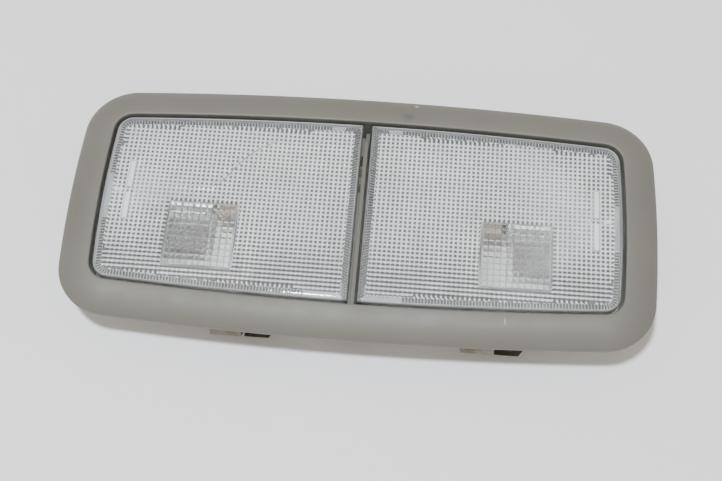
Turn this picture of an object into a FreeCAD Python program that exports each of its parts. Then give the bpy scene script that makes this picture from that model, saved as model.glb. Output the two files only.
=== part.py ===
import FreeCAD, Part
import math
import os
from types import SimpleNamespace

import Sketcher

# Twin map light for a car roof, lying on its back: X along its length, Z out of the lenses.
# Sizes in millimetres. The origin is the middle of the flat back.

os.makedirs("parts", exist_ok=True)
doc = FreeCAD.newDocument("interior_light")
sheet = doc.addObject("Spreadsheet::Sheet", "sizes")

driving_sizes = {
    # bezel: a frame with four bowed sides
    "bezel_length": 191.3,
    "bezel_width": 86.0,
    "long_side_radius": 1200.0,
    "short_side_radius": 380.0,
    "corner_radius": 17.0,
    "border": 10.55,
    "bezel_wall": 2.0,
    "opening_wall": 1.8,
    "seam_height": 10.0,
    "rim_height": 15.0,
    "skirt_height": 2.2,
    "lip_rise": 4.1,
    "crown_power": 1.6,
    "crown_bands": 3,
    "divider_thickness": 1.4,
    "divider_top": 19.3,
    "divider_slot_length": 6.5,
    "divider_slot_floor": 13.0,
    # lenses
    "lens_gap": 1.1,
    "lens_divider_gap": 0.8,
    "lens_top": 21.3,
    "lens_plate": 2.2,
    "lens_skirt_wall": 1.5,
    "lens_skirt_bottom": 16.4,
    "lens_bevel": 1.2,
    "window_width": 21.7,
    "window_height": 22.4,
    "window_end_inset": 45.15,
    "window_y": -12.2,
    "window_depth": 0.7,
    "mark_y": 1.5,
    "mark_length": 21.0,
    "mark_width": 2.0,
    "mark_rise": 0.5,
    "mark_bar_length": 7.5,
    "mark_bar_width": 1.4,
    "mark_bar_shift": 1.2,
    # lens pivots and catch
    "pivot_x": 9.5,
    "pivot_z": 14.5,
    "pivot_radius": 1.5,
    "pivot_clearance": 0.05,
    "pivot_reach": 1.5,
    "rear_ear_width": 4.6,
    "front_ear_width": 11.0,
    "press_angle": 2.5,
    "tab_width": 16.0,
    "tab_bottom": 13.8,
    "hook_width": 12.0,
    "hook_height": 2.0,
    "hook_reach": 0.8,
    "catch_clearance": 0.3,
    "pusher_width": 8.0,
    "pusher_thickness": 3.0,
    # housing
    "floor_thickness": 2.0,
    "roof_screw_gap": 26.0,
    "roof_screw_y": -16.0,
    "roof_screw_radius": 2.2,
    "roof_boss_radius": 4.5,
    "roof_boss_height": 2.0,
    "lug_inset": 5.35,
    "lug_y": 18.0,
    "lug_radius": 3.6,
    "lug_bottom": 3.2,
    "tongue_width": 14.0,
    "tongue_thickness": 2.4,
    "tongue_top": 9.4,
    "tongue_reach": 6.5,
    "clip_x": 40.0,
    "clip_pad_width": 20.0,
    "clip_pad_reach": 2.2,
    # spring clips
    "clip_width": 10.0,
    "clip_sheet": 0.6,
    "clip_bottom": 2.4,
    "clip_knee_z": 7.4,
    "clip_knee_reach": 4.6,
    "clip_top": 11.4,
    "clip_tip_reach": 2.2,
    "leaf_slot": 0.8,
    "leaf_z": 5.0,
    "leaf_reach": 3.9,
    "leaf_length": 7.6,
    "leaf_taper": 2.6,
    # screws
    "screw_radius": 1.45,
    "screw_clearance": 0.1,
    "screw_head_radius": 2.9,
    "screw_head_height": 2.0,
    "screw_bite": 6.0,
    "boss_radius": 2.8,
    # bulbs
    "bulb_end_inset": 48.65,
    "bulb_y": 4.5,
    "bulb_z": 9.5,
    "bulb_radius": 5.0,
    "bulb_length": 21.0,
    "glass_wall": 0.7,
    "wedge_length": 8.0,
    "wedge_width": 8.0,
    "wedge_thickness": 2.4,
    "filament_height": 11.0,
    "filament_span": 5.0,
    "lead_width": 0.5,
    "coil_radius": 0.4,
    # bulb holders
    "holder_length": 12.0,
    "holder_width": 13.0,
    "holder_rise": 4.2,
    "wedge_clearance": 0.15,
    # reflectors
    "reflector_sheet": 0.6,
    "reflector_radius": 6.6,
    "reflector_start_gap": 2.5,
    "reflector_end_gap": 1.0,
    "wing_length": 13.0,
    "wing_angle": 20.0,
    # push switches
    "switch_end_inset": 20.15,
    "switch_width": 12.0,
    "switch_height": 9.0,
    "switch_wall": 1.0,
    "plunger_radius": 2.4,
    "plunger_clearance": 0.1,
    "plunger_top": 15.0,
    "flange_width": 8.6,
    "flange_thickness": 1.2,
    "flange_gap": 0.2,
    "tail_radius": 1.2,
    "tail_length": 2.6,
    "bridge_length": 8.6,
    "bridge_width": 6.0,
    "bridge_thickness": 0.4,
    "contact_gap": 0.05,
    "spring_radius": 1.75,
    "spring_wire_radius": 0.25,
    "spring_clearance": 0.2,
    "spring_turns": 4.0,
    # stamped strips
    "strip_width": 3.0,
    "strip_thickness": 0.5,
    "supply_inset": 20.0,
    "ground_inset": 26.0,
    "lamp_inset": 16.0,
    "contact_y": 3.6,
    "contact_depth": 1.4,
    "strip_clearance": 0.3,
    # plug socket
    "socket_width": 16.0,
    "socket_top_gap": 0.4,
    "socket_wall": 1.0,
    "socket_depth": 8.75,
    "socket_back": 2.0,
    "pin_pitch": 4.4,
    "pin_width": 2.2,
    "pin_thickness": 0.8,
    "pin_length": 5.0,
}
for row, (alias, value) in enumerate(driving_sizes.items(), start=1):
    sheet.set(f"A{row}", alias)
    sheet.set(f"B{row}", str(value))
    sheet.setAlias(f"B{row}", alias)
doc.recompute()


class Size:
    # A length worked out from the sheet: its number, and the formula that features are bound to.
    def __init__(self, number, formula):
        self.number = number
        self.formula = formula

    def __add__(self, other):
        other = as_size(other)
        return Size(self.number + other.number, f"({self.formula} + {other.formula})")

    def __sub__(self, other):
        other = as_size(other)
        return Size(self.number - other.number, f"({self.formula} - {other.formula})")

    def __mul__(self, other):
        other = as_size(other)
        return Size(self.number * other.number, f"({self.formula} * {other.formula})")

    def __truediv__(self, other):
        other = as_size(other)
        return Size(self.number / other.number, f"({self.formula} / {other.formula})")

    def __neg__(self):
        return Size(-self.number, f"(0 - {self.formula})")

    __radd__ = __add__
    __rmul__ = __mul__


def as_size(value):
    if isinstance(value, Size):
        return value
    return Size(float(value), repr(float(value)))


def bind(feature, path, value):
    feature.setExpression(path, as_size(value).formula)


dim = SimpleNamespace(**{alias: Size(float(sheet.get(alias)), f"sizes.{alias}") for alias in driving_sizes})

# Levels and outlines that several pieces share
rim_top = dim.rim_height + dim.skirt_height
lip_z = rim_top + dim.lip_rise
half_width = dim.bezel_width / 2
half_length = dim.bezel_length / 2
wall_inset = dim.border - dim.opening_wall
wall_y = half_width - wall_inset
lug_x = half_length - dim.lug_inset
bulb_x = half_length - dim.bulb_end_inset
roof_screw_x = bulb_x - dim.roof_screw_gap
switch_x = half_length - dim.switch_end_inset
supply_y = half_width - dim.supply_inset
ground_y = half_width - dim.ground_inset
lamp_y = dim.lamp_inset - half_width
socket_start = wall_y - dim.socket_depth
lens_inset = dim.border + dim.lens_gap
lens_inner_x = dim.divider_thickness / 2 + dim.lens_divider_gap
lens_edge_y = half_width - lens_inset
plate_z = dim.lens_top - dim.lens_plate
floor_z = dim.floor_thickness
switch_roof_z = floor_z + dim.switch_height - dim.switch_wall
flange_bottom = switch_roof_z - dim.flange_gap - dim.flange_thickness
plunger_travel = (switch_x - dim.pivot_x) * dim.press_angle * math.radians(1)
contact_top = flange_bottom - dim.bridge_thickness - plunger_travel - dim.contact_gap
contact_x = (switch_x - dim.strip_width / 2, switch_x + dim.strip_width / 2)


# Document helpers

def origin_plane(body, role):
    return next(feature for feature in body.Origin.OriginFeatures if feature.Role == role)


def new_body(name):
    return doc.addObject("PartDesign::Body", name)


def new_sketch(body, name, role="XY_Plane", height=0.0):
    sketch = body.newObject("Sketcher::SketchObject", name)
    sketch.AttachmentSupport = [(origin_plane(body, role), "")]
    sketch.MapMode = "FlatFace"
    bind(sketch, ".AttachmentOffset.Base.z", height)
    return sketch


def set_datum(sketch, constraint, value):
    value = as_size(value)
    index = sketch.addConstraint(constraint(value.number))
    sketch.setExpression(f"Constraints[{index}]", value.formula)


def pad(body, sketch, length, reverse=False):
    feature = body.newObject("PartDesign::Pad", f"{sketch.Name}_pad")
    feature.Profile = sketch
    bind(feature, "Length", length)
    feature.Reversed = reverse
    return feature


def pocket(body, sketch, length, reverse=True):
    feature = body.newObject("PartDesign::Pocket", f"{sketch.Name}_pocket")
    feature.Profile = sketch
    bind(feature, "Length", length)
    feature.Reversed = reverse
    return feature


def block(name, x_range, y_range, z_range):
    feature = doc.addObject("Part::Box", name)
    for length, axis, (low, high) in zip(("Length", "Width", "Height"), "xyz", (x_range, y_range, z_range)):
        bind(feature, length, as_size(high) - low)
        bind(feature, f".Placement.Base.{axis}", low)
    return feature


axis_rotations = {
    "x": FreeCAD.Rotation(FreeCAD.Vector(0, 1, 0), 90),
    "y": FreeCAD.Rotation(FreeCAD.Vector(1, 0, 0), -90),
    "z": FreeCAD.Rotation(),
}


def rod(name, radius, start, length, axis="z"):
    feature = doc.addObject("Part::Cylinder", name)
    feature.Placement = FreeCAD.Placement(FreeCAD.Vector(), axis_rotations[axis])
    bind(feature, "Radius", radius)
    bind(feature, "Height", length)
    for letter, value in zip("xyz", start):
        bind(feature, f".Placement.Base.{letter}", value)
    return feature


def fuse(name, pieces):
    feature = doc.addObject("Part::MultiFuse", name)
    feature.Shapes = pieces
    feature.Refine = True
    return feature


def cut(name, base, tools):
    feature = doc.addObject("Part::Cut", name)
    feature.Base = base
    feature.Tool = tools[0] if len(tools) == 1 else fuse(f"{name}_tools", tools)
    feature.Refine = True
    return feature


def span(centre, width):
    return (as_size(centre) - width / 2, as_size(centre) + width / 2)


def sided(side, low, high):
    if side > 0:
        return (as_size(low), as_size(high))
    return (-as_size(high), -as_size(low))


pieces = {}


def keep(label, feature):
    feature.Label = label
    pieces[label] = feature


# Bowed outlines: the bezel's rounded rectangle, moved in by an inset

def arc(centre, radius, start, end):
    circle = Part.Circle(FreeCAD.Vector(centre[0], centre[1], 0), FreeCAD.Vector(0, 0, 1), radius)
    return Part.ArcOfCircle(circle, start, end)


def bowed_sizes(inset):
    return SimpleNamespace(
        long_radius=dim.long_side_radius - inset,
        short_radius=dim.short_side_radius - inset,
        corner=dim.corner_radius - inset,
        long_centre=half_width - dim.long_side_radius,
        short_centre=half_length - dim.short_side_radius,
    )


def corner_centre(sizes):
    # The corner's centre lies where the circles of both sides, less the corner radius, cross.
    a = sizes.long_centre.number
    b = sizes.short_centre.number
    p = sizes.long_radius.number - sizes.corner.number
    q = sizes.short_radius.number - sizes.corner.number
    x = dim.bezel_length.number / 2
    for _ in range(60):
        y = a + math.sqrt(p * p - x * x)
        x = b + math.sqrt(q * q - y * y)
    return x, y


def bowed_outline(sketch, inset, inner_x=None, side=1):
    # A full outline, or with inner_x the half of it that lies beyond a straight inner edge.
    sizes = bowed_sizes(as_size(inset))
    radii = {"long": sizes.long_radius, "short": sizes.short_radius, "corner": sizes.corner}
    cx, cy = corner_centre(sizes)
    long_y = sizes.long_centre.number
    short_x = sizes.short_centre.number
    long_angle = math.atan2(cy - long_y, cx)
    short_angle = math.atan2(cy, cx - short_x)
    long_end = math.pi - long_angle
    if inner_x is not None:
        long_end = math.acos(inner_x.number / sizes.long_radius.number)
    arcs = []

    def add(kind, centre, low, high):
        if side < 0:
            centre = (-centre[0], centre[1])
            low, high = math.pi - high, math.pi - low
        arcs.append((kind, sketch.addGeometry(arc(centre, radii[kind].number, low, high), False)))

    add("short", (short_x, 0), -short_angle, short_angle)
    add("corner", (cx, cy), short_angle, long_angle)
    add("long", (0, long_y), long_angle, long_end)
    if inner_x is None:
        add("corner", (-cx, cy), math.pi - long_angle, math.pi - short_angle)
        add("short", (-short_x, 0), math.pi - short_angle, math.pi + short_angle)
        add("corner", (-cx, -cy), math.pi + short_angle, math.pi + long_angle)
    add("long", (0, -long_y), -long_end, -long_angle)
    add("corner", (cx, -cy), -long_angle, -short_angle)
    constrain_outline(sketch, sizes, radii, arcs)
    if inner_x is not None:
        close_half(sketch, arcs, inner_x, side)


def constrain_outline(sketch, sizes, radii, arcs):
    for kind, index in arcs:
        set_datum(sketch, lambda number: Sketcher.Constraint("Radius", index, number), radii[kind])
        centre = sketch.Geometry[index].Center
        if kind == "long":
            sketch.addConstraint(Sketcher.Constraint("PointOnObject", index, 3, -2))
            value = sizes.long_centre if centre.y < 0 else -sizes.long_centre
            set_datum(sketch, lambda number: Sketcher.Constraint("DistanceY", -1, 1, index, 3, number), value)
        if kind == "short":
            sketch.addConstraint(Sketcher.Constraint("PointOnObject", index, 3, -1))
            value = sizes.short_centre if centre.x < 0 else -sizes.short_centre
            set_datum(sketch, lambda number: Sketcher.Constraint("DistanceX", -1, 1, index, 3, number), value)
    join_ends(sketch, [index for _, index in arcs])


def join_ends(sketch, indices):
    # Arcs whose ends meet are tangent there.
    ends = []
    for index in indices:
        curve = sketch.Geometry[index]
        ends.append((index, 1, curve.StartPoint))
        ends.append((index, 2, curve.EndPoint))
    for number, (index, end, point) in enumerate(ends):
        for other, other_end, other_point in ends[number + 1:]:
            if other != index and point.distanceToPoint(other_point) < 0.01:
                sketch.addConstraint(Sketcher.Constraint("Tangent", index, end, other, other_end))


def close_half(sketch, arcs, inner_x, side):
    x = side * inner_x.number
    points = []
    for kind, index in arcs:
        if kind == "long":
            curve = sketch.Geometry[index]
            near_start = abs(curve.StartPoint.x - x) < abs(curve.EndPoint.x - x)
            points.append((index, 1 if near_start else 2))
    first = sketch.getPoint(*points[0])
    second = sketch.getPoint(*points[1])
    line = sketch.addGeometry(Part.LineSegment(first, second), False)
    sketch.addConstraint(Sketcher.Constraint("Coincident", line, 1, *points[0]))
    sketch.addConstraint(Sketcher.Constraint("Coincident", line, 2, *points[1]))
    sketch.addConstraint(Sketcher.Constraint("Vertical", line))
    value = inner_x if side > 0 else -inner_x
    set_datum(sketch, lambda number: Sketcher.Constraint("DistanceX", -1, 1, line, 1, number), value)


def outline_sketch(body, name, inset, height, inner_x=None, side=1):
    sketch = new_sketch(body, name, height=height)
    bowed_outline(sketch, inset, inner_x, side)
    return sketch


def rectangle(sketch, x_range, y_range):
    (x0, x1), (y0, y1) = [[as_size(value) for value in pair] for pair in (x_range, y_range)]
    corners = [(x0, y0), (x1, y0), (x1, y1), (x0, y1)]
    points = [FreeCAD.Vector(x.number, y.number, 0) for x, y in corners]
    lines = [sketch.addGeometry(Part.LineSegment(points[i], points[(i + 1) % 4]), False) for i in range(4)]
    for i in range(4):
        sketch.addConstraint(Sketcher.Constraint("Coincident", lines[i], 2, lines[(i + 1) % 4], 1))
        sketch.addConstraint(Sketcher.Constraint("Horizontal" if i % 2 == 0 else "Vertical", lines[i]))
    for corner, line in ((corners[0], lines[0]), (corners[2], lines[2])):
        set_datum(sketch, lambda number: Sketcher.Constraint("DistanceX", -1, 1, line, 1, number), corner[0])
        set_datum(sketch, lambda number: Sketcher.Constraint("DistanceY", -1, 1, line, 1, number), corner[1])


def loft(body, kind, name, sections):
    feature = body.newObject(f"PartDesign::{kind}", name)
    feature.Profile = sections[0]
    feature.Sections = sections[1:]
    feature.Ruled = True
    return feature


# Bezel: crowned frame, skirt, wall of the opening, divider, screw bosses

def crown_station(band):
    # The crown is steep at the rim and almost level at the lip.
    angle = math.pi / 2 * band / dim.crown_bands.number
    rise = math.sin(angle) ** dim.crown_power.number
    return (dim.border * (1 - math.cos(angle)), rim_top + dim.lip_rise * rise)


def outline_loft(body, kind, name, stations):
    sections = [outline_sketch(body, f"{name}_{i}", inset, z) for i, (inset, z) in enumerate(stations)]
    return loft(body, kind, name, sections)


def make_bezel():
    body = new_body("bezel_frame")
    pad(body, outline_sketch(body, "skirt", 0, dim.rim_height), dim.skirt_height)
    bands = range(int(dim.crown_bands.number) + 1)
    outline_loft(body, "AdditiveLoft", "face", [crown_station(band) for band in bands])
    wall = dim.bezel_wall
    stations = [(wall, dim.rim_height), (wall, rim_top - wall / 2), (wall_inset, lip_z - wall)]
    outline_loft(body, "SubtractiveLoft", "underside", stations)
    wall_height = lip_z - wall / 2 - dim.seam_height
    pad(body, outline_sketch(body, "opening_wall_outside", wall_inset, dim.seam_height), wall_height)
    opening_height = lip_z + wall - dim.seam_height
    pocket(body, outline_sketch(body, "opening", dim.border, dim.seam_height), opening_height)
    doc.recompute()

    slot_end = half_width - dim.border
    divider_end = slot_end + dim.opening_wall / 2
    divider = block(
        "divider",
        span(0, dim.divider_thickness),
        (-divider_end, divider_end),
        (dim.seam_height, dim.divider_top),
    )
    slot = block(
        "divider_slot",
        span(0, dim.divider_thickness * 2),
        (slot_end - dim.divider_slot_length, slot_end),
        (dim.divider_slot_floor, lip_z),
    )
    added = [body, cut("divider_bar", divider, [slot])]
    removed = []
    for x_side in (1, -1):
        for y_side in (1, -1):
            place = f"{x_side}{y_side}".replace("-", "m")
            x = lug_x * x_side
            y = dim.lug_y * y_side
            boss_height = lip_z - wall * 1.4 - dim.seam_height
            added.append(rod(f"boss_{place}", dim.boss_radius, (x, y, dim.seam_height), boss_height))
            hole = dim.screw_radius + dim.screw_clearance
            hole_depth = dim.screw_bite + wall / 2
            removed.append(rod(f"boss_hole_{place}", hole, (x, y, dim.seam_height), hole_depth))
            pivot_start = slot_end - wall / 2
            low = pivot_start if y_side > 0 else -pivot_start - dim.opening_wall * 2
            pivot_place = (dim.pivot_x * x_side, low, dim.pivot_z)
            pivot_radius = dim.pivot_radius + dim.pivot_clearance
            removed.append(rod(f"pivot_hole_{place}", pivot_radius, pivot_place, dim.opening_wall * 2, "y"))
        catch_x = sided(x_side, half_length - dim.border - wall, half_length - wall_inset + wall)
        catch_top = dim.tab_bottom + dim.hook_height + dim.catch_clearance
        catch_y = span(0, dim.hook_width + 2 * dim.catch_clearance)
        catch_name = f"catch_{'right' if x_side > 0 else 'left'}"
        removed.append(block(catch_name, catch_x, catch_y, (dim.seam_height, catch_top)))
    keep("bezel", cut("bezel_cut", fuse("bezel_whole", added), removed))


# Lenses: clear shallow trays with a window, a press mark, pivot pins and a catch

def top_edges(feature, z):
    names = []
    for number, edge in enumerate(feature.Shape.Edges, start=1):
        if all(abs(vertex.Z - z) < 0.001 for vertex in edge.Vertexes):
            names.append(f"Edge{number}")
    return names


def make_lens(side, word):
    body = new_body(f"lens_tray_{word}")
    bottom = dim.lens_skirt_bottom
    sketch = outline_sketch(body, f"lens_outside_{word}", lens_inset, bottom, lens_inner_x, side)
    tray = pad(body, sketch, dim.lens_top - bottom)
    doc.recompute()
    bevel = body.newObject("PartDesign::Chamfer", f"lens_bevel_{word}")
    bevel.Base = (tray, top_edges(tray, dim.lens_top.number))
    bind(bevel, "Size", dim.lens_bevel)
    inside = lens_inset + dim.lens_skirt_wall
    inside_x = lens_inner_x + dim.lens_skirt_wall
    sketch = outline_sketch(body, f"lens_inside_{word}", inside, bottom, inside_x, side)
    pocket(body, sketch, plate_z - bottom)
    sketch = new_sketch(body, f"window_{word}", height=plate_z)
    window_x = span(half_length - dim.window_end_inset, dim.window_width)
    rectangle(sketch, sided(side, *window_x), span(dim.window_y, dim.window_height))
    pocket(body, sketch, dim.window_depth)
    doc.recompute()

    outer_x = half_length - lens_inset
    tab_x = (outer_x - dim.lens_skirt_wall, outer_x - dim.catch_clearance)
    tab_z = (dim.tab_bottom, plate_z)
    hook_x = (outer_x - dim.lens_skirt_wall, outer_x + dim.lens_gap + dim.hook_reach)
    hook_z = (dim.tab_bottom, dim.tab_bottom + dim.hook_height)
    pusher_z = (dim.plunger_top + dim.catch_clearance, plate_z + dim.bezel_wall / 4)
    mark_z = (dim.lens_top - dim.mark_rise, dim.lens_top + dim.mark_rise)
    bar_x = span(switch_x + dim.mark_bar_shift, dim.mark_bar_length)
    added = [
        body,
        block(f"lens_tab_{word}", sided(side, *tab_x), span(0, dim.tab_width), tab_z),
        block(f"lens_hook_{word}", sided(side, *hook_x), span(0, dim.hook_width), hook_z),
        block(
            f"lens_pusher_{word}",
            sided(side, *span(switch_x, dim.pusher_thickness)),
            span(0, dim.pusher_width),
            pusher_z,
        ),
        block(
            f"lens_mark_{word}",
            sided(side, *span(switch_x, dim.mark_width)),
            span(dim.mark_y, dim.mark_length),
            mark_z,
        ),
        block(f"lens_bar_{word}", sided(side, *bar_x), span(dim.mark_y, dim.mark_bar_width), mark_z),
    ]
    for y_side, ear_width in ((1, dim.rear_ear_width), (-1, dim.front_ear_width)):
        place = f"{word}_{'rear' if y_side > 0 else 'front'}"
        ear_y = sided(y_side, lens_edge_y - dim.lens_skirt_wall, lens_edge_y - dim.catch_clearance)
        ear_z = (dim.pivot_z - dim.pivot_radius * 1.6, plate_z)
        ear_x = sided(side, *span(dim.pivot_x, ear_width))
        added.append(block(f"ear_{place}", ear_x, ear_y, ear_z))
        pin_length = dim.catch_clearance + dim.lens_gap + dim.pivot_reach
        pin_low = lens_edge_y - dim.catch_clearance
        start_y = pin_low if y_side > 0 else -pin_low - pin_length
        pin_place = (dim.pivot_x * side, start_y, dim.pivot_z)
        added.append(rod(f"pivot_{place}", dim.pivot_radius, pin_place, pin_length, "y"))
    keep(f"lens_{word}", fuse(f"lens_whole_{word}", added))


# Housing: the tray behind, with screw lugs, roof screw bosses, clip pads and rear tongues

def make_housing():
    body = new_body("housing_tray")
    pad(body, outline_sketch(body, "housing_outside", wall_inset, 0), dim.seam_height)
    pocket(body, outline_sketch(body, "housing_inside", dim.border, floor_z), dim.seam_height - floor_z)
    doc.recompute()

    added = [body]
    removed = []
    partition_end = socket_start - dim.strip_clearance
    partition_top = dim.seam_height
    partition_low = floor_z + dim.strip_thickness + dim.strip_clearance
    strip_edge = ground_y - dim.strip_width / 2 - dim.strip_clearance
    partition = block(
        "partition",
        span(0, dim.divider_thickness),
        (-wall_y + dim.opening_wall / 2, partition_end),
        (floor_z - dim.floor_thickness / 2, partition_top),
    )
    passage = block(
        "partition_passage",
        span(0, dim.divider_thickness * 2),
        (strip_edge, partition_end),
        (floor_z, partition_low),
    )
    added.append(cut("partition_wall", partition, [passage]))
    for x_side in (1, -1):
        tag = "right" if x_side > 0 else "left"
        for y_side in (1, -1):
            place = f"{tag}_{'rear' if y_side > 0 else 'front'}"
            x = lug_x * x_side
            y = dim.lug_y * y_side
            lug_height = dim.seam_height - dim.lug_bottom
            added.append(rod(f"lug_{place}", dim.lug_radius, (x, y, dim.lug_bottom), lug_height))
            web_x = sided(x_side, half_length - dim.border + dim.opening_wall / 2, lug_x)
            web_y = span(y, dim.lug_radius * 2)
            added.append(block(f"lug_web_{place}", web_x, web_y, (dim.lug_bottom, dim.seam_height)))
            hole = dim.screw_radius + dim.screw_clearance
            removed.append(rod(f"lug_hole_{place}", hole, (x, y, 0), dim.seam_height))
        roof_x = roof_screw_x * x_side
        boss_height = dim.floor_thickness / 2 + dim.roof_boss_height
        boss_start = (roof_x, dim.roof_screw_y, dim.floor_thickness / 2)
        added.append(rod(f"roof_boss_{tag}", dim.roof_boss_radius, boss_start, boss_height))
        hole_height = floor_z + dim.roof_boss_height
        hole_start = (roof_x, dim.roof_screw_y, 0)
        removed.append(rod(f"roof_hole_{tag}", dim.roof_screw_radius, hole_start, hole_height))
        tongue_z = (dim.tongue_top - dim.tongue_thickness, dim.tongue_top)
        tongue_y = (wall_y - dim.opening_wall, wall_y + dim.tongue_reach)
        tongue_x = span(dim.clip_x * x_side, dim.tongue_width)
        added.append(block(f"tongue_{tag}", tongue_x, tongue_y, tongue_z))
        pad_start = dim.clip_x * x_side - dim.clip_width / 2
        pad_x = (pad_start, pad_start + dim.clip_pad_width)
        pad_y = (-wall_y - dim.clip_pad_reach, -wall_y + dim.opening_wall)
        added.append(block(f"clip_pad_{tag}", pad_x, pad_y, (dim.clip_bottom, dim.seam_height)))
    socket_x = span(0, dim.socket_width + 2 * dim.strip_clearance)
    socket_y = (half_width - dim.border - dim.opening_wall, wall_y + dim.opening_wall)
    removed.append(block("socket_gap", socket_x, socket_y, (floor_z, dim.seam_height)))
    keep("housing", cut("housing_cut", fuse("housing_whole", added), removed))


# Spring clips: sheet steel folded into a sprung knee with a side leaf, two alike

def make_clips():
    clips = []
    seat_y = wall_y + dim.clip_pad_reach
    sheet_steel = dim.clip_sheet
    for x_side in (1, -1):
        tag = "right" if x_side > 0 else "left"
        body = new_body(f"clip_{tag}")
        sketch = new_sketch(body, f"clip_profile_{tag}", "YZ_Plane", dim.clip_x * x_side - dim.clip_width / 2)
        profile = [
            (-seat_y, dim.clip_top),
            (-seat_y, dim.clip_bottom),
            (-seat_y - sheet_steel * 2, dim.clip_bottom),
            (-seat_y - dim.clip_knee_reach, dim.clip_knee_z),
            (-seat_y - dim.clip_tip_reach, dim.clip_top),
            (-seat_y - dim.clip_tip_reach + sheet_steel, dim.clip_top),
            (-seat_y - dim.clip_knee_reach + sheet_steel * 1.3, dim.clip_knee_z),
            (-seat_y - sheet_steel, dim.clip_bottom + sheet_steel),
            (-seat_y - sheet_steel, dim.clip_top),
        ]
        polygon(sketch, profile)
        pad(body, sketch, dim.clip_width)
        clips.append(fuse(f"clip_whole_{tag}", [body, *make_leaf(tag, x_side, seat_y)]))
    group = doc.addObject("Part::Compound", "clip_pair")
    group.Links = clips
    keep("mounting_clips", group)


def make_leaf(tag, x_side, seat_y):
    # A tapered side leaf, folded out of the same sheet beside the knee
    clip_end = dim.clip_x * x_side + dim.clip_width / 2
    start_x = clip_end + dim.leaf_slot
    end_x = start_x + dim.leaf_length
    seat = block(
        f"leaf_seat_{tag}",
        (clip_end - dim.clip_sheet, end_x + dim.leaf_taper),
        (-seat_y - dim.clip_sheet, -seat_y),
        (dim.clip_bottom + dim.clip_sheet, dim.leaf_z + dim.clip_sheet),
    )
    body = new_body(f"leaf_{tag}")
    sketch = new_sketch(body, f"leaf_outline_{tag}", height=dim.leaf_z)
    root_y = -seat_y - dim.clip_sheet / 2
    outline = [
        (start_x, root_y),
        (start_x, -seat_y - dim.leaf_reach),
        (end_x, -seat_y - dim.leaf_reach),
        (end_x + dim.leaf_taper, root_y),
    ]
    polygon(sketch, outline)
    pad(body, sketch, dim.clip_sheet)
    return [seat, body]


def polygon(sketch, corners):
    corners = [(as_size(u), as_size(v)) for u, v in corners]
    count = len(corners)
    points = [FreeCAD.Vector(u.number, v.number, 0) for u, v in corners]
    edges = [Part.LineSegment(points[i], points[(i + 1) % count]) for i in range(count)]
    lines = [sketch.addGeometry(edge, False) for edge in edges]
    for i, (u, v) in enumerate(corners):
        sketch.addConstraint(Sketcher.Constraint("Coincident", lines[i - 1], 2, lines[i], 1))
        set_datum(sketch, lambda number: Sketcher.Constraint("DistanceX", -1, 1, lines[i], 1, number), u)
        set_datum(sketch, lambda number: Sketcher.Constraint("DistanceY", -1, 1, lines[i], 1, number), v)


# Screws from behind, through the lugs into the bezel's bosses

def make_screws():
    screws = []
    for x_side in (1, -1):
        for y_side in (1, -1):
            place = f"{x_side}{y_side}".replace("-", "m")
            x = lug_x * x_side
            y = dim.lug_y * y_side
            head = doc.addObject("Part::Prism", f"screw_head_{place}")
            head.Polygon = 6
            bind(head, "Circumradius", dim.screw_head_radius)
            bind(head, "Height", dim.screw_head_height)
            bind(head, ".Placement.Base.x", x)
            bind(head, ".Placement.Base.y", y)
            bind(head, ".Placement.Base.z", dim.lug_bottom - dim.screw_head_height)
            shank_length = dim.seam_height - dim.lug_bottom + dim.screw_bite
            shank = rod(f"screw_shank_{place}", dim.screw_radius, (x, y, dim.lug_bottom), shank_length)
            screws.append(fuse(f"screw_{place}", [head, shank]))
    group = doc.addObject("Part::Compound", "screw_set")
    group.Links = screws
    keep("bezel_screws", group)


# Bulbs: hollow glass with a flat wedge base, lying along X, and the filament on its two leads

def dome_points(start, radius, facets):
    angles = [math.pi / 2 * step / facets for step in range(facets)]
    points = [(start + radius * math.sin(angle), radius * math.cos(angle)) for angle in angles]
    return points + [(start + radius, 0)]


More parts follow.
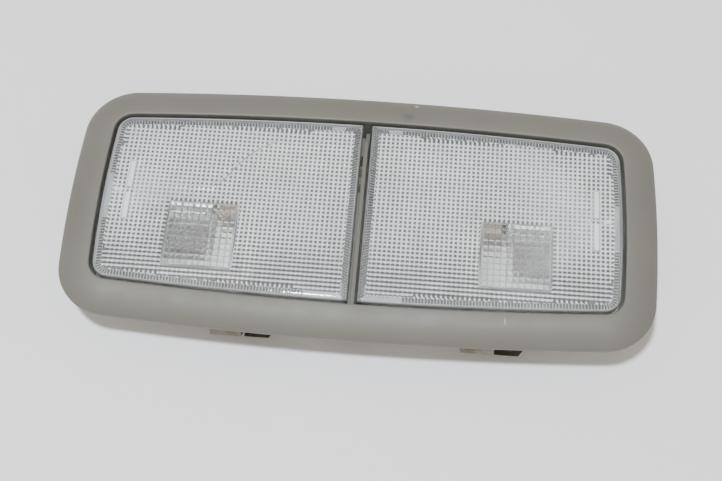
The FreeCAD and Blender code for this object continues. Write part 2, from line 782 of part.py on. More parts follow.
def make_bulb(side, word):
    body = new_body(f"bulb_glass_{word}")
    sketch = new_sketch(body, f"bulb_profile_{word}", "XZ_Plane")
    outer = dim.bulb_radius
    inner = dim.bulb_radius - dim.glass_wall
    shoulder = dim.bulb_length - dim.bulb_radius
    inner_start = dim.glass_wall * 2
    corners = [(0, 0), (0, outer)]
    corners += dome_points(shoulder, outer, 2)
    corners += reversed(dome_points(shoulder, inner, 1))
    corners += [(inner_start, inner), (inner_start, 0)]
    polygon(sketch, corners)
    turned = body.newObject("PartDesign::Revolution", f"bulb_turned_{word}")
    turned.Profile = sketch
    turned.ReferenceAxis = (sketch, ["H_Axis"])
    turned.Angle = 360
    if side < 0:
        body.Placement = FreeCAD.Placement(FreeCAD.Vector(), FreeCAD.Rotation(FreeCAD.Vector(0, 0, 1), 180))
    bind(body, ".Placement.Base.x", bulb_x * side)
    bind(body, ".Placement.Base.y", dim.bulb_y)
    bind(body, ".Placement.Base.z", dim.bulb_z)
    wedge = block(
        f"wedge_{word}",
        sided(side, bulb_x - dim.wedge_length, bulb_x + dim.glass_wall),
        span(dim.bulb_y, dim.wedge_width),
        span(dim.bulb_z, dim.wedge_thickness),
    )
    keep(f"bulb_{word}", fuse(f"bulb_whole_{word}", [body, wedge]))

    lead_start = bulb_x + dim.glass_wall * 2
    lead_end = bulb_x + dim.filament_height
    added = []
    for y_side in (1, -1):
        y = dim.bulb_y + dim.filament_span / 2 * y_side
        added.append(
            block(
                f"lead_{word}_{'rear' if y_side > 0 else 'front'}",
                sided(side, lead_start, lead_end),
                span(y, dim.lead_width),
                span(dim.bulb_z, dim.lead_width),
            )
        )
    coil_start = ((bulb_x + dim.filament_height) * side, dim.bulb_y - dim.filament_span / 2, dim.bulb_z)
    added.append(rod(f"coil_{word}", dim.coil_radius, coil_start, dim.filament_span, "y"))
    keep(f"filament_{word}", fuse(f"filament_whole_{word}", added))


# Bulb holders: blocks on the floor, slotted for the wedge base

def make_holder(side, word):
    holder_end = bulb_x - dim.strip_clearance
    holder_x = (holder_end - dim.holder_length, holder_end)
    holder_y = span(dim.bulb_y, dim.holder_width)
    holder_z = (floor_z, dim.bulb_z + dim.holder_rise)
    holder = block(f"holder_block_{word}", sided(side, *holder_x), holder_y, holder_z)
    slot_x = (bulb_x - dim.wedge_length - dim.strip_clearance, bulb_x)
    slot = block(
        f"holder_slot_{word}",
        sided(side, *slot_x),
        span(dim.bulb_y, dim.wedge_width + 2 * dim.wedge_clearance),
        span(dim.bulb_z, dim.wedge_thickness + 2 * dim.wedge_clearance),
    )
    strip_top = floor_z + dim.strip_thickness
    tools = [slot]
    for y_side in (1, -1):
        y = dim.bulb_y + dim.holder_width / 2 * y_side
        groove = block(
            f"holder_groove_{word}_{y_side}".replace("-", "m"),
            sided(side, holder_x[0], holder_end),
            span(y, dim.strip_width * 2),
            (floor_z, strip_top + dim.strip_clearance),
        )
        tools.append(groove)
    keep(f"bulb_holder_{word}", cut(f"holder_cut_{word}", holder, tools))


# Reflectors: bright sheet folded into a trough under the bulb, with a wing on each side

def make_reflector(side, word):
    outside = dim.reflector_radius + dim.reflector_sheet
    start_x = bulb_x + dim.reflector_start_gap
    end_x = switch_x - dim.switch_width / 2 - dim.reflector_end_gap
    length = end_x - start_x
    low_x, high_x = sided(side, start_x, end_x)
    axis_start = (low_x, dim.bulb_y, dim.bulb_z)
    outer = rod(f"trough_outside_{word}", outside, axis_start, length, "x")
    inner = rod(f"trough_inside_{word}", dim.reflector_radius, axis_start, length, "x")
    upper = block(
        f"trough_upper_{word}",
        (low_x, high_x),
        span(dim.bulb_y, outside * 2),
        (dim.bulb_z, dim.bulb_z + outside),
    )
    added = [cut(f"trough_{word}", outer, [inner, upper])]
    for y_side in (1, -1):
        wing = doc.addObject("Part::Box", f"wing_{word}_{y_side}".replace("-", "m"))
        bind(wing, "Length", length)
        bind(wing, "Width", dim.wing_length)
        bind(wing, "Height", dim.reflector_sheet)
        turn = dim.wing_angle.number if y_side > 0 else 180 - dim.wing_angle.number
        wing.Placement = FreeCAD.Placement(FreeCAD.Vector(), FreeCAD.Rotation(FreeCAD.Vector(1, 0, 0), turn))
        bind(wing, ".Placement.Base.x", low_x)
        bind(wing, ".Placement.Base.y", dim.bulb_y + dim.reflector_radius * y_side)
        bind(wing, ".Placement.Base.z", dim.bulb_z - dim.reflector_sheet * (1 if y_side > 0 else 0))
        added.append(wing)
    keep(f"reflector_{word}", fuse(f"reflector_whole_{word}", added))


# Push switches: an inverted cup on the floor, a plunger with its flange, a spring and a contact bridge

def make_switch(side, word):
    x = switch_x * side
    top_z = floor_z + dim.switch_height
    inside = dim.switch_width - 2 * dim.switch_wall
    case = block(f"case_block_{word}", span(x, dim.switch_width), span(0, dim.switch_width), (floor_z, top_z))
    hollow = block(f"case_hollow_{word}", span(x, inside), span(0, inside), (floor_z, switch_roof_z))
    guide_radius = dim.plunger_radius + dim.plunger_clearance
    guide = rod(f"case_guide_{word}", guide_radius, (x, 0, switch_roof_z), dim.switch_wall)
    gap = block(
        f"case_gap_{word}",
        span(x, dim.strip_width + 2 * dim.strip_clearance),
        span(0, dim.switch_width * 2),
        (floor_z, floor_z + dim.strip_thickness + dim.strip_clearance),
    )
    keep(f"switch_case_{word}", cut(f"case_cut_{word}", case, [hollow, guide, gap]))

    stem_length = dim.plunger_top - flange_bottom
    tail_start = (x, 0, flange_bottom - dim.tail_length)
    tail_length = dim.tail_length + dim.flange_thickness
    plunger = [
        rod(f"plunger_stem_{word}", dim.plunger_radius, (x, 0, flange_bottom), stem_length),
        block(
            f"plunger_flange_{word}",
            span(x, dim.flange_width),
            span(0, dim.flange_width),
            (flange_bottom, flange_bottom + dim.flange_thickness),
        ),
        rod(f"plunger_tail_{word}", dim.tail_radius, tail_start, tail_length),
    ]
    keep(f"switch_plunger_{word}", fuse(f"plunger_whole_{word}", plunger))
    bridge_bottom = flange_bottom - dim.bridge_thickness
    bridge = block(
        f"bridge_block_{word}",
        span(x, dim.bridge_width),
        span(0, dim.bridge_length),
        (bridge_bottom, flange_bottom),
    )
    eye_width = (dim.spring_radius + dim.spring_wire_radius + dim.spring_clearance) * 2
    eye = block(
        f"bridge_eye_{word}",
        span(x, eye_width),
        span(0, eye_width),
        (bridge_bottom, flange_bottom),
    )
    keep(f"contact_bridge_{word}", cut(f"bridge_cut_{word}", bridge, [eye]))
    make_spring(word, x)


def make_spring(word, x):
    # A coil of straight six-sided lengths of wire, from the floor up to the flange
    wire = dim.spring_wire_radius.number
    low = floor_z.number + wire
    rise = flange_bottom.number - wire - low
    radius = dim.spring_radius.number
    steps_per_turn = 8
    steps = int(round(dim.spring_turns.number * steps_per_turn))
    points = []
    for step in range(steps + 1):
        angle = 2 * math.pi * step / steps_per_turn
        points.append(FreeCAD.Vector(radius * math.cos(angle), radius * math.sin(angle), rise * step / steps))
    corners = []
    for corner in range(7):
        angle = math.pi * corner / 3
        corners.append(FreeCAD.Vector(radius + wire * math.cos(angle), 0, wire * math.sin(angle)))
    section = Part.makePolygon(corners)
    spring = doc.addObject("Part::Feature", f"spring_{word}")
    spring.Shape = Part.makePolygon(points).makePipeShell([section], True, False, 1)
    spring.Placement = FreeCAD.Placement(FreeCAD.Vector(x.number, 0, low), FreeCAD.Rotation())
    keep(f"switch_spring_{word}", spring)


# Stamped strips, flat on the floor

def strip_run(name, x_range, y_range):
    return block(name, x_range, y_range, (floor_z, floor_z + dim.strip_thickness))


def make_strips():
    width = dim.strip_width
    reach = contact_x[1]
    post_y = span(dim.contact_y, dim.contact_depth)
    post_z = (floor_z, contact_top)
    supply = [strip_run("supply_main", (-reach, reach), span(supply_y, width))]
    supply_pin_x = span(dim.pin_pitch, dim.pin_width)
    supply.append(strip_run("supply_pin", supply_pin_x, (supply_y, socket_start)))
    ground_end = bulb_x - dim.strip_clearance - dim.holder_length + width
    ground_reach = dim.bulb_y + dim.holder_width / 2
    ground = [strip_run("ground_main", (-ground_end, ground_end), span(ground_y, width))]
    for side, word in ((1, "right"), (-1, "left")):
        side_x = sided(side, *contact_x)
        supply.append(strip_run(f"supply_{word}", side_x, (post_y[0], supply_y)))
        supply.append(block(f"supply_post_{word}", side_x, post_y, post_z))
        ground_x = sided(side, ground_end - width, ground_end)
        ground.append(strip_run(f"ground_{word}", ground_x, (ground_reach - width / 2, ground_y)))
        lamp = [
            strip_run(f"lamp_main_{word}", sided(side, ground_end - width, reach), span(lamp_y, width)),
            strip_run(f"lamp_switch_{word}", side_x, (lamp_y, -post_y[0])),
            block(f"lamp_post_{word}", side_x, (-post_y[1], -post_y[0]), post_z),
            strip_run(
                f"lamp_holder_{word}",
                ground_x,
                (lamp_y, dim.bulb_y - dim.holder_width / 2 + width / 2),
            ),
        ]
        keep(f"lamp_strip_{word}", fuse(f"lamp_strip_whole_{word}", lamp))
    keep("supply_strip", fuse("supply_strip_whole", supply))
    keep("ground_strip", fuse("ground_strip_whole", ground))


# Plug socket in the rear wall, open towards +Y, with its blades

def make_socket():
    outer_z = (floor_z, dim.seam_height - dim.socket_top_gap)
    shroud = block("socket_shroud", span(0, dim.socket_width), (socket_start, wall_y), outer_z)
    inner_z = (outer_z[0] + dim.socket_wall, outer_z[1] - dim.socket_wall)
    hollow_start = socket_start + dim.socket_back
    hollow_x = span(0, dim.socket_width - 2 * dim.socket_wall)
    hollow = block("socket_hollow", hollow_x, (hollow_start, wall_y), inner_z)
    tools = [hollow]
    blades = []
    for number in (-1, 0, 1):
        word = ("left", "middle", "right")[number + 1]
        blade_x = span(dim.pin_pitch * number, dim.pin_width)
        blade_z = span((outer_z[0] + outer_z[1]) / 2, dim.pin_thickness)
        blade_y = (socket_start, hollow_start + dim.pin_length)
        blades.append(block(f"blade_{word}", blade_x, blade_y, blade_z))
        tools.append(block(f"blade_hole_{word}", blade_x, (socket_start, hollow_start), blade_z))
    keep("plug_socket", cut("socket_cut", shroud, tools))
    group = doc.addObject("Part::Compound", "blade_set")
    group.Links = blades
    keep("plug_pins", group)


make_bezel()
make_housing()
make_clips()
make_screws()
make_socket()
make_strips()
for side, word in ((-1, "left"), (1, "right")):
    make_lens(side, word)
    make_bulb(side, word)
    make_holder(side, word)
    make_reflector(side, word)
    make_switch(side, word)
doc.recompute()

# Every feature must have worked before anything is written.
for feature in doc.Objects:
    if "Invalid" in feature.State or "Error" in feature.State:
        raise RuntimeError(f"{feature.Name} failed: {feature.State}")
for label, feature in pieces.items():
    if feature.Shape.isNull() or not feature.Shape.isValid():
        raise RuntimeError(f"{label} has no valid shape")
for label, feature in pieces.items():
    feature.Shape.exportStep(f"parts/{label}.step")
    box = feature.Shape.BoundBox
    volume = feature.Shape.Volume / 1000
    solids = len(feature.Shape.Solids)
    print(f"{label}: {solids} solids, {volume:.2f} cm3, z {box.ZMin:.1f} to {box.ZMax:.1f}")
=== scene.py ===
import math

import bmesh
import bpy
from mathutils import Matrix, Vector
from mathutils.geometry import delaunay_2d_cdt


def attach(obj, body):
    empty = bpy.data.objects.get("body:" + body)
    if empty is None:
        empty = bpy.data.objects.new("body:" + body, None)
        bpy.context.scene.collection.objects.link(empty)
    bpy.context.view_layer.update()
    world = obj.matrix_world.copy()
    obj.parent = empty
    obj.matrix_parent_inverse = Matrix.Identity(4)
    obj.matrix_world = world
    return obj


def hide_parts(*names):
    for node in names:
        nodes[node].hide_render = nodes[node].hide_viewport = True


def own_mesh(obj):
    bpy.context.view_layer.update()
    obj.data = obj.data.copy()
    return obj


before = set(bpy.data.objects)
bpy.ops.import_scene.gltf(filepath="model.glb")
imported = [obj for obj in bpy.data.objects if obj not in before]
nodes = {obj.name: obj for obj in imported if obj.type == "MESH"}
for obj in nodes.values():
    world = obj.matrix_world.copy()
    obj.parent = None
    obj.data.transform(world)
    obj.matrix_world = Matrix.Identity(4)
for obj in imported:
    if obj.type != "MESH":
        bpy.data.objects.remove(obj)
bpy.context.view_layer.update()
print("frame loaded:", len(nodes), "nodes")

# twin map light lying on its back; sizes below are millimetres, meshes are metres
mm = 0.001


# mesh helpers
def addMesh(name, verts, faces, smoothFaces=None, attributes=None):
    mesh = bpy.data.meshes.new(name)
    mesh.from_pydata([(x * mm, y * mm, z * mm) for x, y, z in verts], [], faces)
    flags = smoothFaces if smoothFaces is not None else [True] * len(faces)
    mesh.polygons.foreach_set("use_smooth", flags)
    for label, values in (attributes or {}).items():
        layer = mesh.attributes.new(label, "FLOAT", "POINT")
        layer.data.foreach_set("value", values)
    mesh.update()
    obj = bpy.data.objects.new(name, mesh)
    bpy.context.scene.collection.objects.link(obj)
    return obj


# quads from each ring of points to the next
def ringFaces(count, rings, closed=False):
    faces = []
    for k in range(rings if closed else rings - 1):
        a, b = k * count, (k + 1) % rings * count
        for i in range(count):
            j = (i + 1) % count
            faces.append((a + i, a + j, b + j, b + i))
    return faces


def endCaps(count, rings):
    last = (rings - 1) * count
    return [tuple(reversed(range(count))), tuple(range(last, last + count))]


def ringPoints(centre, u, v, radius, sides):
    angles = [2 * math.pi * i / sides for i in range(sides)]
    return [tuple(centre + (u * math.cos(t) + v * math.sin(t)) * radius) for t in angles]


# box between two opposite corners, in any order
def boxPart(corner, opposite):
    (x0, x1), (y0, y1), (z0, z1) = (sorted(pair) for pair in zip(corner, opposite))
    verts = [(x, y, z) for z in (z0, z1) for y in (y0, y1) for x in (x0, x1)]
    faces = [(0, 2, 3, 1), (4, 5, 7, 6), (0, 1, 5, 4), (2, 6, 7, 3), (0, 4, 6, 2), (1, 3, 7, 5)]
    return verts, faces


def rodPart(start, end, radius, sides=24):
    start, end = Vector(start), Vector(end)
    axis = (end - start).normalized()
    u = axis.orthogonal().normalized()
    v = axis.cross(u)
    verts = ringPoints(start, u, v, radius, sides) + ringPoints(end, u, v, radius, sides)
    return verts, ringFaces(sides, 2) + endCaps(sides, 2)


def tubePart(path, radius, sides):
    leaning = Vector((0, 0.3, 1))  # never along one of the paths
    verts = []
    for k, p in enumerate(path):
        ahead = (path[min(k + 1, len(path) - 1)] - path[max(k - 1, 0)]).normalized()
        u = ahead.cross(leaning).normalized()
        verts += ringPoints(p, u, ahead.cross(u), radius, sides)
    return verts, ringFaces(sides, len(path)) + endCaps(sides, len(path))


def turnedPart(profile, sides=40):
    angles = [2 * math.pi * i / sides for i in range(sides)]
    verts = [(u, r * math.cos(t), r * math.sin(t)) for u, r in profile for t in angles]
    return verts, ringFaces(sides, len(profile))


def joinParts(parts):
    verts, faces = [], []
    for partVerts, partFaces in parts:
        shift = len(verts)
        verts += partVerts
        faces += [tuple(i + shift for i in face) for face in partFaces]
    return verts, faces


def soften(obj, width, segments=2, angle=30):
    bevel = obj.modifiers.new("softEdges", "BEVEL")
    bevel.width = width * mm
    bevel.segments = segments
    bevel.limit_method = "ANGLE"
    bevel.angle_limit = math.radians(angle)


def weld(obj, distance=0.002):
    bm = bmesh.new()
    bm.from_mesh(obj.data)
    bmesh.ops.remove_doubles(bm, verts=bm.verts, dist=distance * mm)
    bmesh.ops.recalc_face_normals(bm, faces=bm.faces)
    bm.to_mesh(obj.data)
    bm.free()


# node helpers
class Shader:
    def __init__(self, name):
        self.material = bpy.data.materials.new(name)
        self.material.use_nodes = True
        self.tree = self.material.node_tree
        self.tree.nodes.clear()
        self.out = self.tree.nodes.new("ShaderNodeOutputMaterial")

    def add(self, kind, **settings):
        node = self.tree.nodes.new("ShaderNode" + kind)
        for key, value in settings.items():
            setattr(node, key, value)
        return node

    def link(self, a, b):
        self.tree.links.new(a, b)

    def toSurface(self, shader):
        self.link(shader.outputs[0], self.out.inputs["Surface"])

    def coords(self):
        return self.add("TexCoord").outputs["Object"]

    def attribute(self, name):
        return self.add("Attribute", attribute_name=name).outputs["Fac"]

    def noise(self, scale, detail=4.0, roughness=0.55):
        node = self.add("TexNoise")
        node.inputs["Scale"].default_value = scale
        node.inputs["Detail"].default_value = detail
        node.inputs["Roughness"].default_value = roughness
        self.link(self.coords(), node.inputs["Vector"])
        return node.outputs["Fac"]

    def ramp(self, value, low, high, start=0.0, end=1.0):
        node = self.add("MapRange")
        node.inputs["From Min"].default_value = low
        node.inputs["From Max"].default_value = high
        node.inputs["To Min"].default_value = start
        node.inputs["To Max"].default_value = end
        self.link(value, node.inputs["Value"])
        return node.outputs["Result"]

    def mixColour(self, factor, a, b):
        node = self.add("Mix", data_type="RGBA")
        self.link(factor, node.inputs["Factor"])
        sockets = [s for s in node.inputs if s.type == "RGBA"]
        for socket, value in zip(sockets, (a, b)):
            if isinstance(value, tuple):
                socket.default_value = (*value, 1.0)
            else:
                self.link(value, socket)
        return [s for s in node.outputs if s.type == "RGBA"][0]

    def mixShader(self, factor, a, b):
        node = self.add("MixShader")
        self.link(factor, node.inputs["Fac"])
        self.link(a.outputs[0], node.inputs[1])
        self.link(b.outputs[0], node.inputs[2])
        return node

    def maths(self, operation, a, b):
        node = self.add("Math", operation=operation)
        for socket, value in zip(node.inputs, (a, b)):
            if isinstance(value, (int, float)):
                socket.default_value = value
            else:
                self.link(value, socket)
        return node.outputs["Value"]

    def bump(self, height, strength, distance):
        node = self.add("Bump")
        node.inputs["Strength"].default_value = strength
        node.inputs["Distance"].default_value = distance * mm
        self.link(height, node.inputs["Height"])
        return node.outputs["Normal"]

    # a soft spot at a place on the object, 1 in its core
    def spot(self, centre, radius, squash=(1, 1, 1), core=0.25):
        move = self.add("VectorMath", operation="SUBTRACT")
        self.link(self.coords(), move.inputs[0])
        move.inputs[1].default_value = [c * mm for c in centre]
        scale = self.add("VectorMath", operation="MULTIPLY")
        self.link(move.outputs[0], scale.inputs[0])
        scale.inputs[1].default_value = squash
        size = self.add("VectorMath", operation="LENGTH")
        self.link(scale.outputs[0], size.inputs[0])
        return self.ramp(size.outputs["Value"], radius * mm, radius * core * mm)

    # a share of the light goes straight on to the pieces behind
    def passLight(self, shader, share, tint=(1.0, 1.0, 1.0)):
        clear = self.add("BsdfTransparent")
        clear.inputs["Color"].default_value = (*tint, 1.0)
        shadow = self.add("LightPath").outputs["Is Shadow Ray"]
        return self.mixShader(self.maths("MULTIPLY", shadow, share), shader, clear)


# grainy solid finish with patches of tone, dust and uneven gloss
plainLook = {
    "patchScale": 60.0, "dustScale": 420.0, "dust": 0.25, "dustColour": (0.35, 0.33, 0.29),
    "glossScale": 180.0, "metallic": 0.0, "grainScale": 5200.0, "grain": 0.15, "grainDepth": 0.06,
}


def solidFinish(name, ownLook):
    look = {**plainLook, **ownLook}
    s = Shader(name)
    bsdf = s.add("BsdfPrincipled")
    s.toSurface(bsdf)
    patches = s.ramp(s.noise(look["patchScale"], detail=5.0), low=0.35, high=0.65)
    colour = s.mixColour(patches, look["colour"], look["second"])
    dust = s.noise(look["dustScale"], detail=6.0, roughness=0.7)
    dust = s.ramp(dust, low=0.56, high=0.8, end=look["dust"])
    colour = s.mixColour(dust, colour, look["dustColour"])
    if "gapDirt" in look:  # painted shade under the divider
        gapShade = look["gapDirt"]
        gapShadeSpot = s.spot(gapShade["centre"], gapShade["radius"], gapShade["squash"])
        colour = s.mixColour(gapShadeSpot, colour, gapShade["colour"])
    s.link(colour, bsdf.inputs["Base Color"])
    smooth, rough = look["roughness"]
    gloss = s.ramp(s.noise(look["glossScale"]), low=0.3, high=0.7, start=smooth, end=rough)
    s.link(gloss, bsdf.inputs["Roughness"])
    bsdf.inputs["Metallic"].default_value = look["metallic"]
    grain = s.noise(look["grainScale"], detail=2.0, roughness=0.6)
    s.link(s.bump(grain, look["grain"], look["grainDepth"]), bsdf.inputs["Normal"])
    return s.material


print("helpers ready")


# bezel: bowed outline of tangent arcs, and one smooth profile swept round it
bezel = {
    "halfLength": 95.65, "halfWidth": 43.0,
    "longRadius": 1200.0, "shortRadius": 380.0, "cornerRadius": 17.0, "spacing": 3.0,
    "border": 10.55, "openingWall": 1.8, "wall": 2.0,
    "seam": 10.0, "rim": 15.0, "rimTop": 17.2, "lipRise": 4.1,
    "crownPower": 1.6, "crownSteps": 22, "crownEnd": 0.7, "sharpAngle": 40,
    "rimRound": [(0.9, 0.0), (0.42, 0.12), (0.12, 0.42), (0.0, 0.9)],  # inset, height above the rim
    "lipRound": [(0.5, 0.01), (0.28, 0.06), (0.1, 0.2), (0.0, 0.45)],  # before the border, below the lip
    "divider": 1.4, "dividerTop": 19.3, "dividerBite": 0.9, "dividerEdge": 0.18,
    "slotLength": 6.5, "slotFloor": 13.0,
    "bossX": 90.3, "bossY": 18.0, "bossTop": 18.4, "bossRadius": 2.8,
    "colour": (0.144, 0.140, 0.117), "second": (0.130, 0.126, 0.104), "speck": (0.22, 0.21, 0.19),
    # painted shade: dark colour and its share laid in the opening and on the divider
    "grime": (0.045, 0.043, 0.037), "grimeShare": 0.3, "grain": 0.22, "grainDepth": 0.05,
    "smudge": {"centre": (13.3, 35.3, 20.5), "radius": 2.4, "colour": (0.09, 0.085, 0.075)},
    "chip": {
        "centre": (15.8, 40.7, 19.0), "radius": 1.0, "squash": (1.0, 1.0, 1.0),
        "colour": (0.62, 0.61, 0.58), "share": 0.4,
    },
    "scratch": {
        "centre": (47.6, -34.6, 20.8), "radius": 1.7, "squash": (5.0, 1.0, 1.0),
        "colour": (0.60, 0.60, 0.58), "share": 0.35,
    },
}
longCentre = bezel["halfWidth"] - bezel["longRadius"]
shortCentre = bezel["halfLength"] - bezel["shortRadius"]
longReach = bezel["longRadius"] - bezel["cornerRadius"]
shortReach = bezel["shortRadius"] - bezel["cornerRadius"]
cornerX = bezel["halfLength"]
for _ in range(60):  # closes in on the corner arc's centre
    cornerY = longCentre + math.sqrt(longReach ** 2 - cornerX ** 2)
    cornerX = shortCentre + math.sqrt(shortReach ** 2 - cornerY ** 2)
longAngle = math.atan2(cornerY - longCentre, cornerX)
shortAngle = math.atan2(cornerY, cornerX - shortCentre)


# points with their outward normals; a spacing at an inset holds there, or else corners get finer steps
def outlinePoints(spacing, atInset=0.0):
    pi = math.pi
    longR, shortR, cornerR = bezel["longRadius"], bezel["shortRadius"], bezel["cornerRadius"]
    arcs = [
        ((0, -longCentre), longR, -pi / 2, -longAngle),
        ((cornerX, -cornerY), cornerR, -longAngle, -shortAngle),
        ((shortCentre, 0), shortR, -shortAngle, shortAngle),
        ((cornerX, cornerY), cornerR, shortAngle, longAngle),
        ((0, longCentre), longR, longAngle, pi - longAngle),
        ((-cornerX, cornerY), cornerR, pi - longAngle, pi - shortAngle),
        ((-shortCentre, 0), shortR, pi - shortAngle, pi + shortAngle),
        ((-cornerX, -cornerY), cornerR, pi + shortAngle, pi + longAngle),
        ((0, -longCentre), longR, pi + longAngle, 1.5 * pi),
    ]
    points = []
    for (cx, cy), radius, low, high in arcs:
        step = spacing / 3 if radius == cornerR and not atInset else spacing
        count = max(2, math.ceil((radius - atInset) * (high - low) / step))
        for i in range(count):
            t = low + (high - low) * i / count
            nx, ny = math.cos(t), math.sin(t)
            points.append((cx + radius * nx, cy + radius * ny, nx, ny))
    return points


def depthInside(x, y):
    ax, ay = abs(x), abs(y)
    depth = bezel["longRadius"] - math.hypot(ax, ay - longCentre)
    depth = min(depth, bezel["shortRadius"] - math.hypot(ax - shortCentre, ay))
    if ax > cornerX and ay > cornerY:
        depth = min(depth, bezel["cornerRadius"] - math.hypot(ax - cornerX, ay - cornerY))
    return depth


def crownProfile():
    stations = []
    for i in range(bezel["crownSteps"] + 1):
        t = math.pi / 2 * i / bezel["crownSteps"]
        inset = bezel["border"] * (1 - math.cos(t))
        rise = bezel["lipRise"] * math.sin(t) ** bezel["crownPower"]
        stations.append((inset, bezel["rimTop"] + rise))
    return [(d, z) for d, z in stations if d < bezel["border"] - bezel["crownEnd"]]


def makeShell():
    rim, top, border = bezel["rim"], bezel["rimTop"], bezel["border"]
    seam, wall = bezel["seam"], bezel["wall"]
    lip = top + bezel["lipRise"]
    wallInset = border - bezel["openingWall"]
    profile = [(wall, rim)] + [(d, rim + z) for d, z in bezel["rimRound"]]
    profile += crownProfile()
    profile += [(border - d, lip - z) for d, z in bezel["lipRound"]]
    profile += [(border, lip - wall), (border, seam)]
    profile += [(wallInset, seam), (wallInset, lip - wall), (wall, top - wall / 2)]
    ring = outlinePoints(bezel["spacing"])
    verts = [(x - nx * d, y - ny * d, z) for d, z in profile for x, y, nx, ny in ring]
    faces = ringFaces(len(ring), len(profile), closed=True)
    grime = [1.0 if d == border else 0.0 for d, z in profile for _ in ring]  # painted shade in the opening
    shell = addMesh("bezelShell", verts, faces, None, {"grime": grime})
    shell.data.set_sharp_from_angle(angle=math.radians(bezel["sharpAngle"]))
    return shell


# divider between the lenses with its slot, and the screw bosses
def makeDivider():
    seam, half = bezel["seam"], bezel["divider"] / 2
    end = bezel["halfWidth"] - bezel["border"]
    reach, slotStart = end + bezel["dividerBite"], end - bezel["slotLength"]
    parts = [
        boxPart((-half, -reach, seam), (half, slotStart, bezel["dividerTop"])),
        boxPart((-half, slotStart, seam), (half, reach, bezel["slotFloor"])),
    ]
    for sx in (1, -1):
        for sy in (1, -1):
            x, y = bezel["bossX"] * sx, bezel["bossY"] * sy
            parts.append(rodPart((x, y, seam), (x, y, bezel["bossTop"]), bezel["bossRadius"]))
    verts, faces = joinParts(parts)
    # painted shade all over the divider and its bosses
    attributes = {"grime": [1.0] * len(verts)}
    divider = addMesh("bezelDivider", verts, faces, [False] * len(faces), attributes)
    soften(divider, bezel["dividerEdge"])
    return divider


# warm grey moulded plastic: specks, a smudge, a chip, a scratch, painted shade in the opening and on the
# divider, fine grain
def makeBezelMaterial():
    s = Shader("bezelGrey")
    bsdf = s.add("BsdfPrincipled")
    s.toSurface(bsdf)
    tone = s.ramp(s.noise(28.0, detail=5.0, roughness=0.6), low=0.35, high=0.68)
    colour = s.mixColour(tone, bezel["colour"], bezel["second"])
    specks = s.ramp(s.noise(2600.0, detail=3.0, roughness=0.7), low=0.66, high=0.78, end=0.22)
    colour = s.mixColour(specks, colour, bezel["speck"])
    smudge = bezel["smudge"]
    patchy = s.ramp(s.noise(900.0, detail=3.0), low=0.3, high=0.6, start=0.35, end=0.9)
    smear = s.maths("MULTIPLY", s.spot(smudge["centre"], smudge["radius"]), patchy)
    colour = s.mixColour(smear, colour, smudge["colour"])
    for mark in (bezel["chip"], bezel["scratch"]):
        place = s.spot(mark["centre"], mark["radius"], mark["squash"])
        colour = s.mixColour(s.maths("MULTIPLY", place, mark["share"]), colour, mark["colour"])
    # painted shade in the opening and on the divider
    grime = s.maths("MULTIPLY", s.attribute("grime"), bezel["grimeShare"])
    colour = s.mixColour(grime, colour, bezel["grime"])
    s.link(colour, bsdf.inputs["Base Color"])
    gloss = s.ramp(s.noise(70.0), low=0.3, high=0.7, start=0.46, end=0.60)
    s.link(gloss, bsdf.inputs["Roughness"])
    grain = s.noise(6500.0, detail=2.0, roughness=0.65)
    s.link(s.bump(grain, bezel["grain"], bezel["grainDepth"]), bsdf.inputs["Normal"])
    return s.material


bezelMaterial = makeBezelMaterial()
for obj in (makeShell(), makeDivider()):
    obj.data.materials.append(bezelMaterial)
    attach(obj, "case")
    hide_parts("bezel")
print("bezel done")


# lenses: clear trays, prisms under the plate, ribs along the edge, pillows in the window
lens = {
    "inset": 11.65, "innerX": 1.5, "top": 21.3, "plate": 19.5, "bottom": 16.4, "skirt": 1.0,
    "skirtFoot": 0.7, "edge": 1.2, "edgeSteps": 6,
    "joinX": 9.0, "joinGap": 0.3, "joinSteps": 14, "innerSteps": 124,
    "pitch": 1.5, "prism": 0.55, "tipMargin": 0.1, "fieldGap": 0.1,
    "band": 1.7, "bandGap": 0.2, "rib": 0.32, "ribEnd": 0.12, "ribStep": 0.5,
    "plainRear": 2.3, "plainFront": 6.0, "plainY": 25.0, "plainX": 75.0,
    "window": (50.5, -12.2, 21.7, 22.4), "windowDepth": 0.5, "windowGap": 0.12, "windowRim": 0.1,
    "pillow": 2.0, "pillowRise": 0.16, "pillowSteps": 4,
    "mark": (75.5, 1.5, 2.0, 21.0), "markSlope": 0.6, "markBorder": 0.35, "markGap": 0.05, "rise": 0.5,
    "bar": (76.7, 1.5, 7.5, 1.4), "barSlope": 0.5, "barRise": 0.4,
    "crackPath": [
        (-48.1, 3.7), (-45.9, 6.7), (-43.8, 9.5), (-41.6, 12.7),
        (-39.6, 15.4), (-35.7, 19.1), (-31.6, 21.6), (-27.9, 23.4),
    ],
    "crackWidth": 0.4, "crackTaper": 0.7, "crackDepth": 0.22,
    "pivot": (9.5, 14.5), "pinRadius": 1.5, "pinIn": 0.6, "pinOut": 2.6,
    "earRear": 4.6, "earFront": 11.0, "earDrop": 2.4, "legIn": 1.5, "legOut": 0.3, "legGap": 0.01,
    "catchHalf": 8.0, "catchLow": 13.8, "hookHalf": 6.0, "hookTop": 15.8, "hookIn": 1.4, "hookOut": 1.9,
    "pusherX": 75.5, "pusherHalf": (1.5, 4.0), "pusherLow": 15.3, "pusherGap": 0.05,
    "tint": (0.965, 0.972, 0.968), "hazeTint": (0.945, 0.948, 0.935), "index": 1.57,
    # painted sheen colours: white standing in for the prisms' silvery reflection
    "silver": (0.95, 0.955, 0.96), "hazeSilver": (0.80, 0.80, 0.785), "silverRoughness": 0.35,
    # painted shade colour for the grooves
    "dot": (0.05, 0.05, 0.05), "crack": (0.10, 0.10, 0.095),
    "cover": 0.68, "dotCover": 0.95, "crackCover": 0.9, "light": 0.8, "lightTint": (0.93, 0.94, 0.935),
}
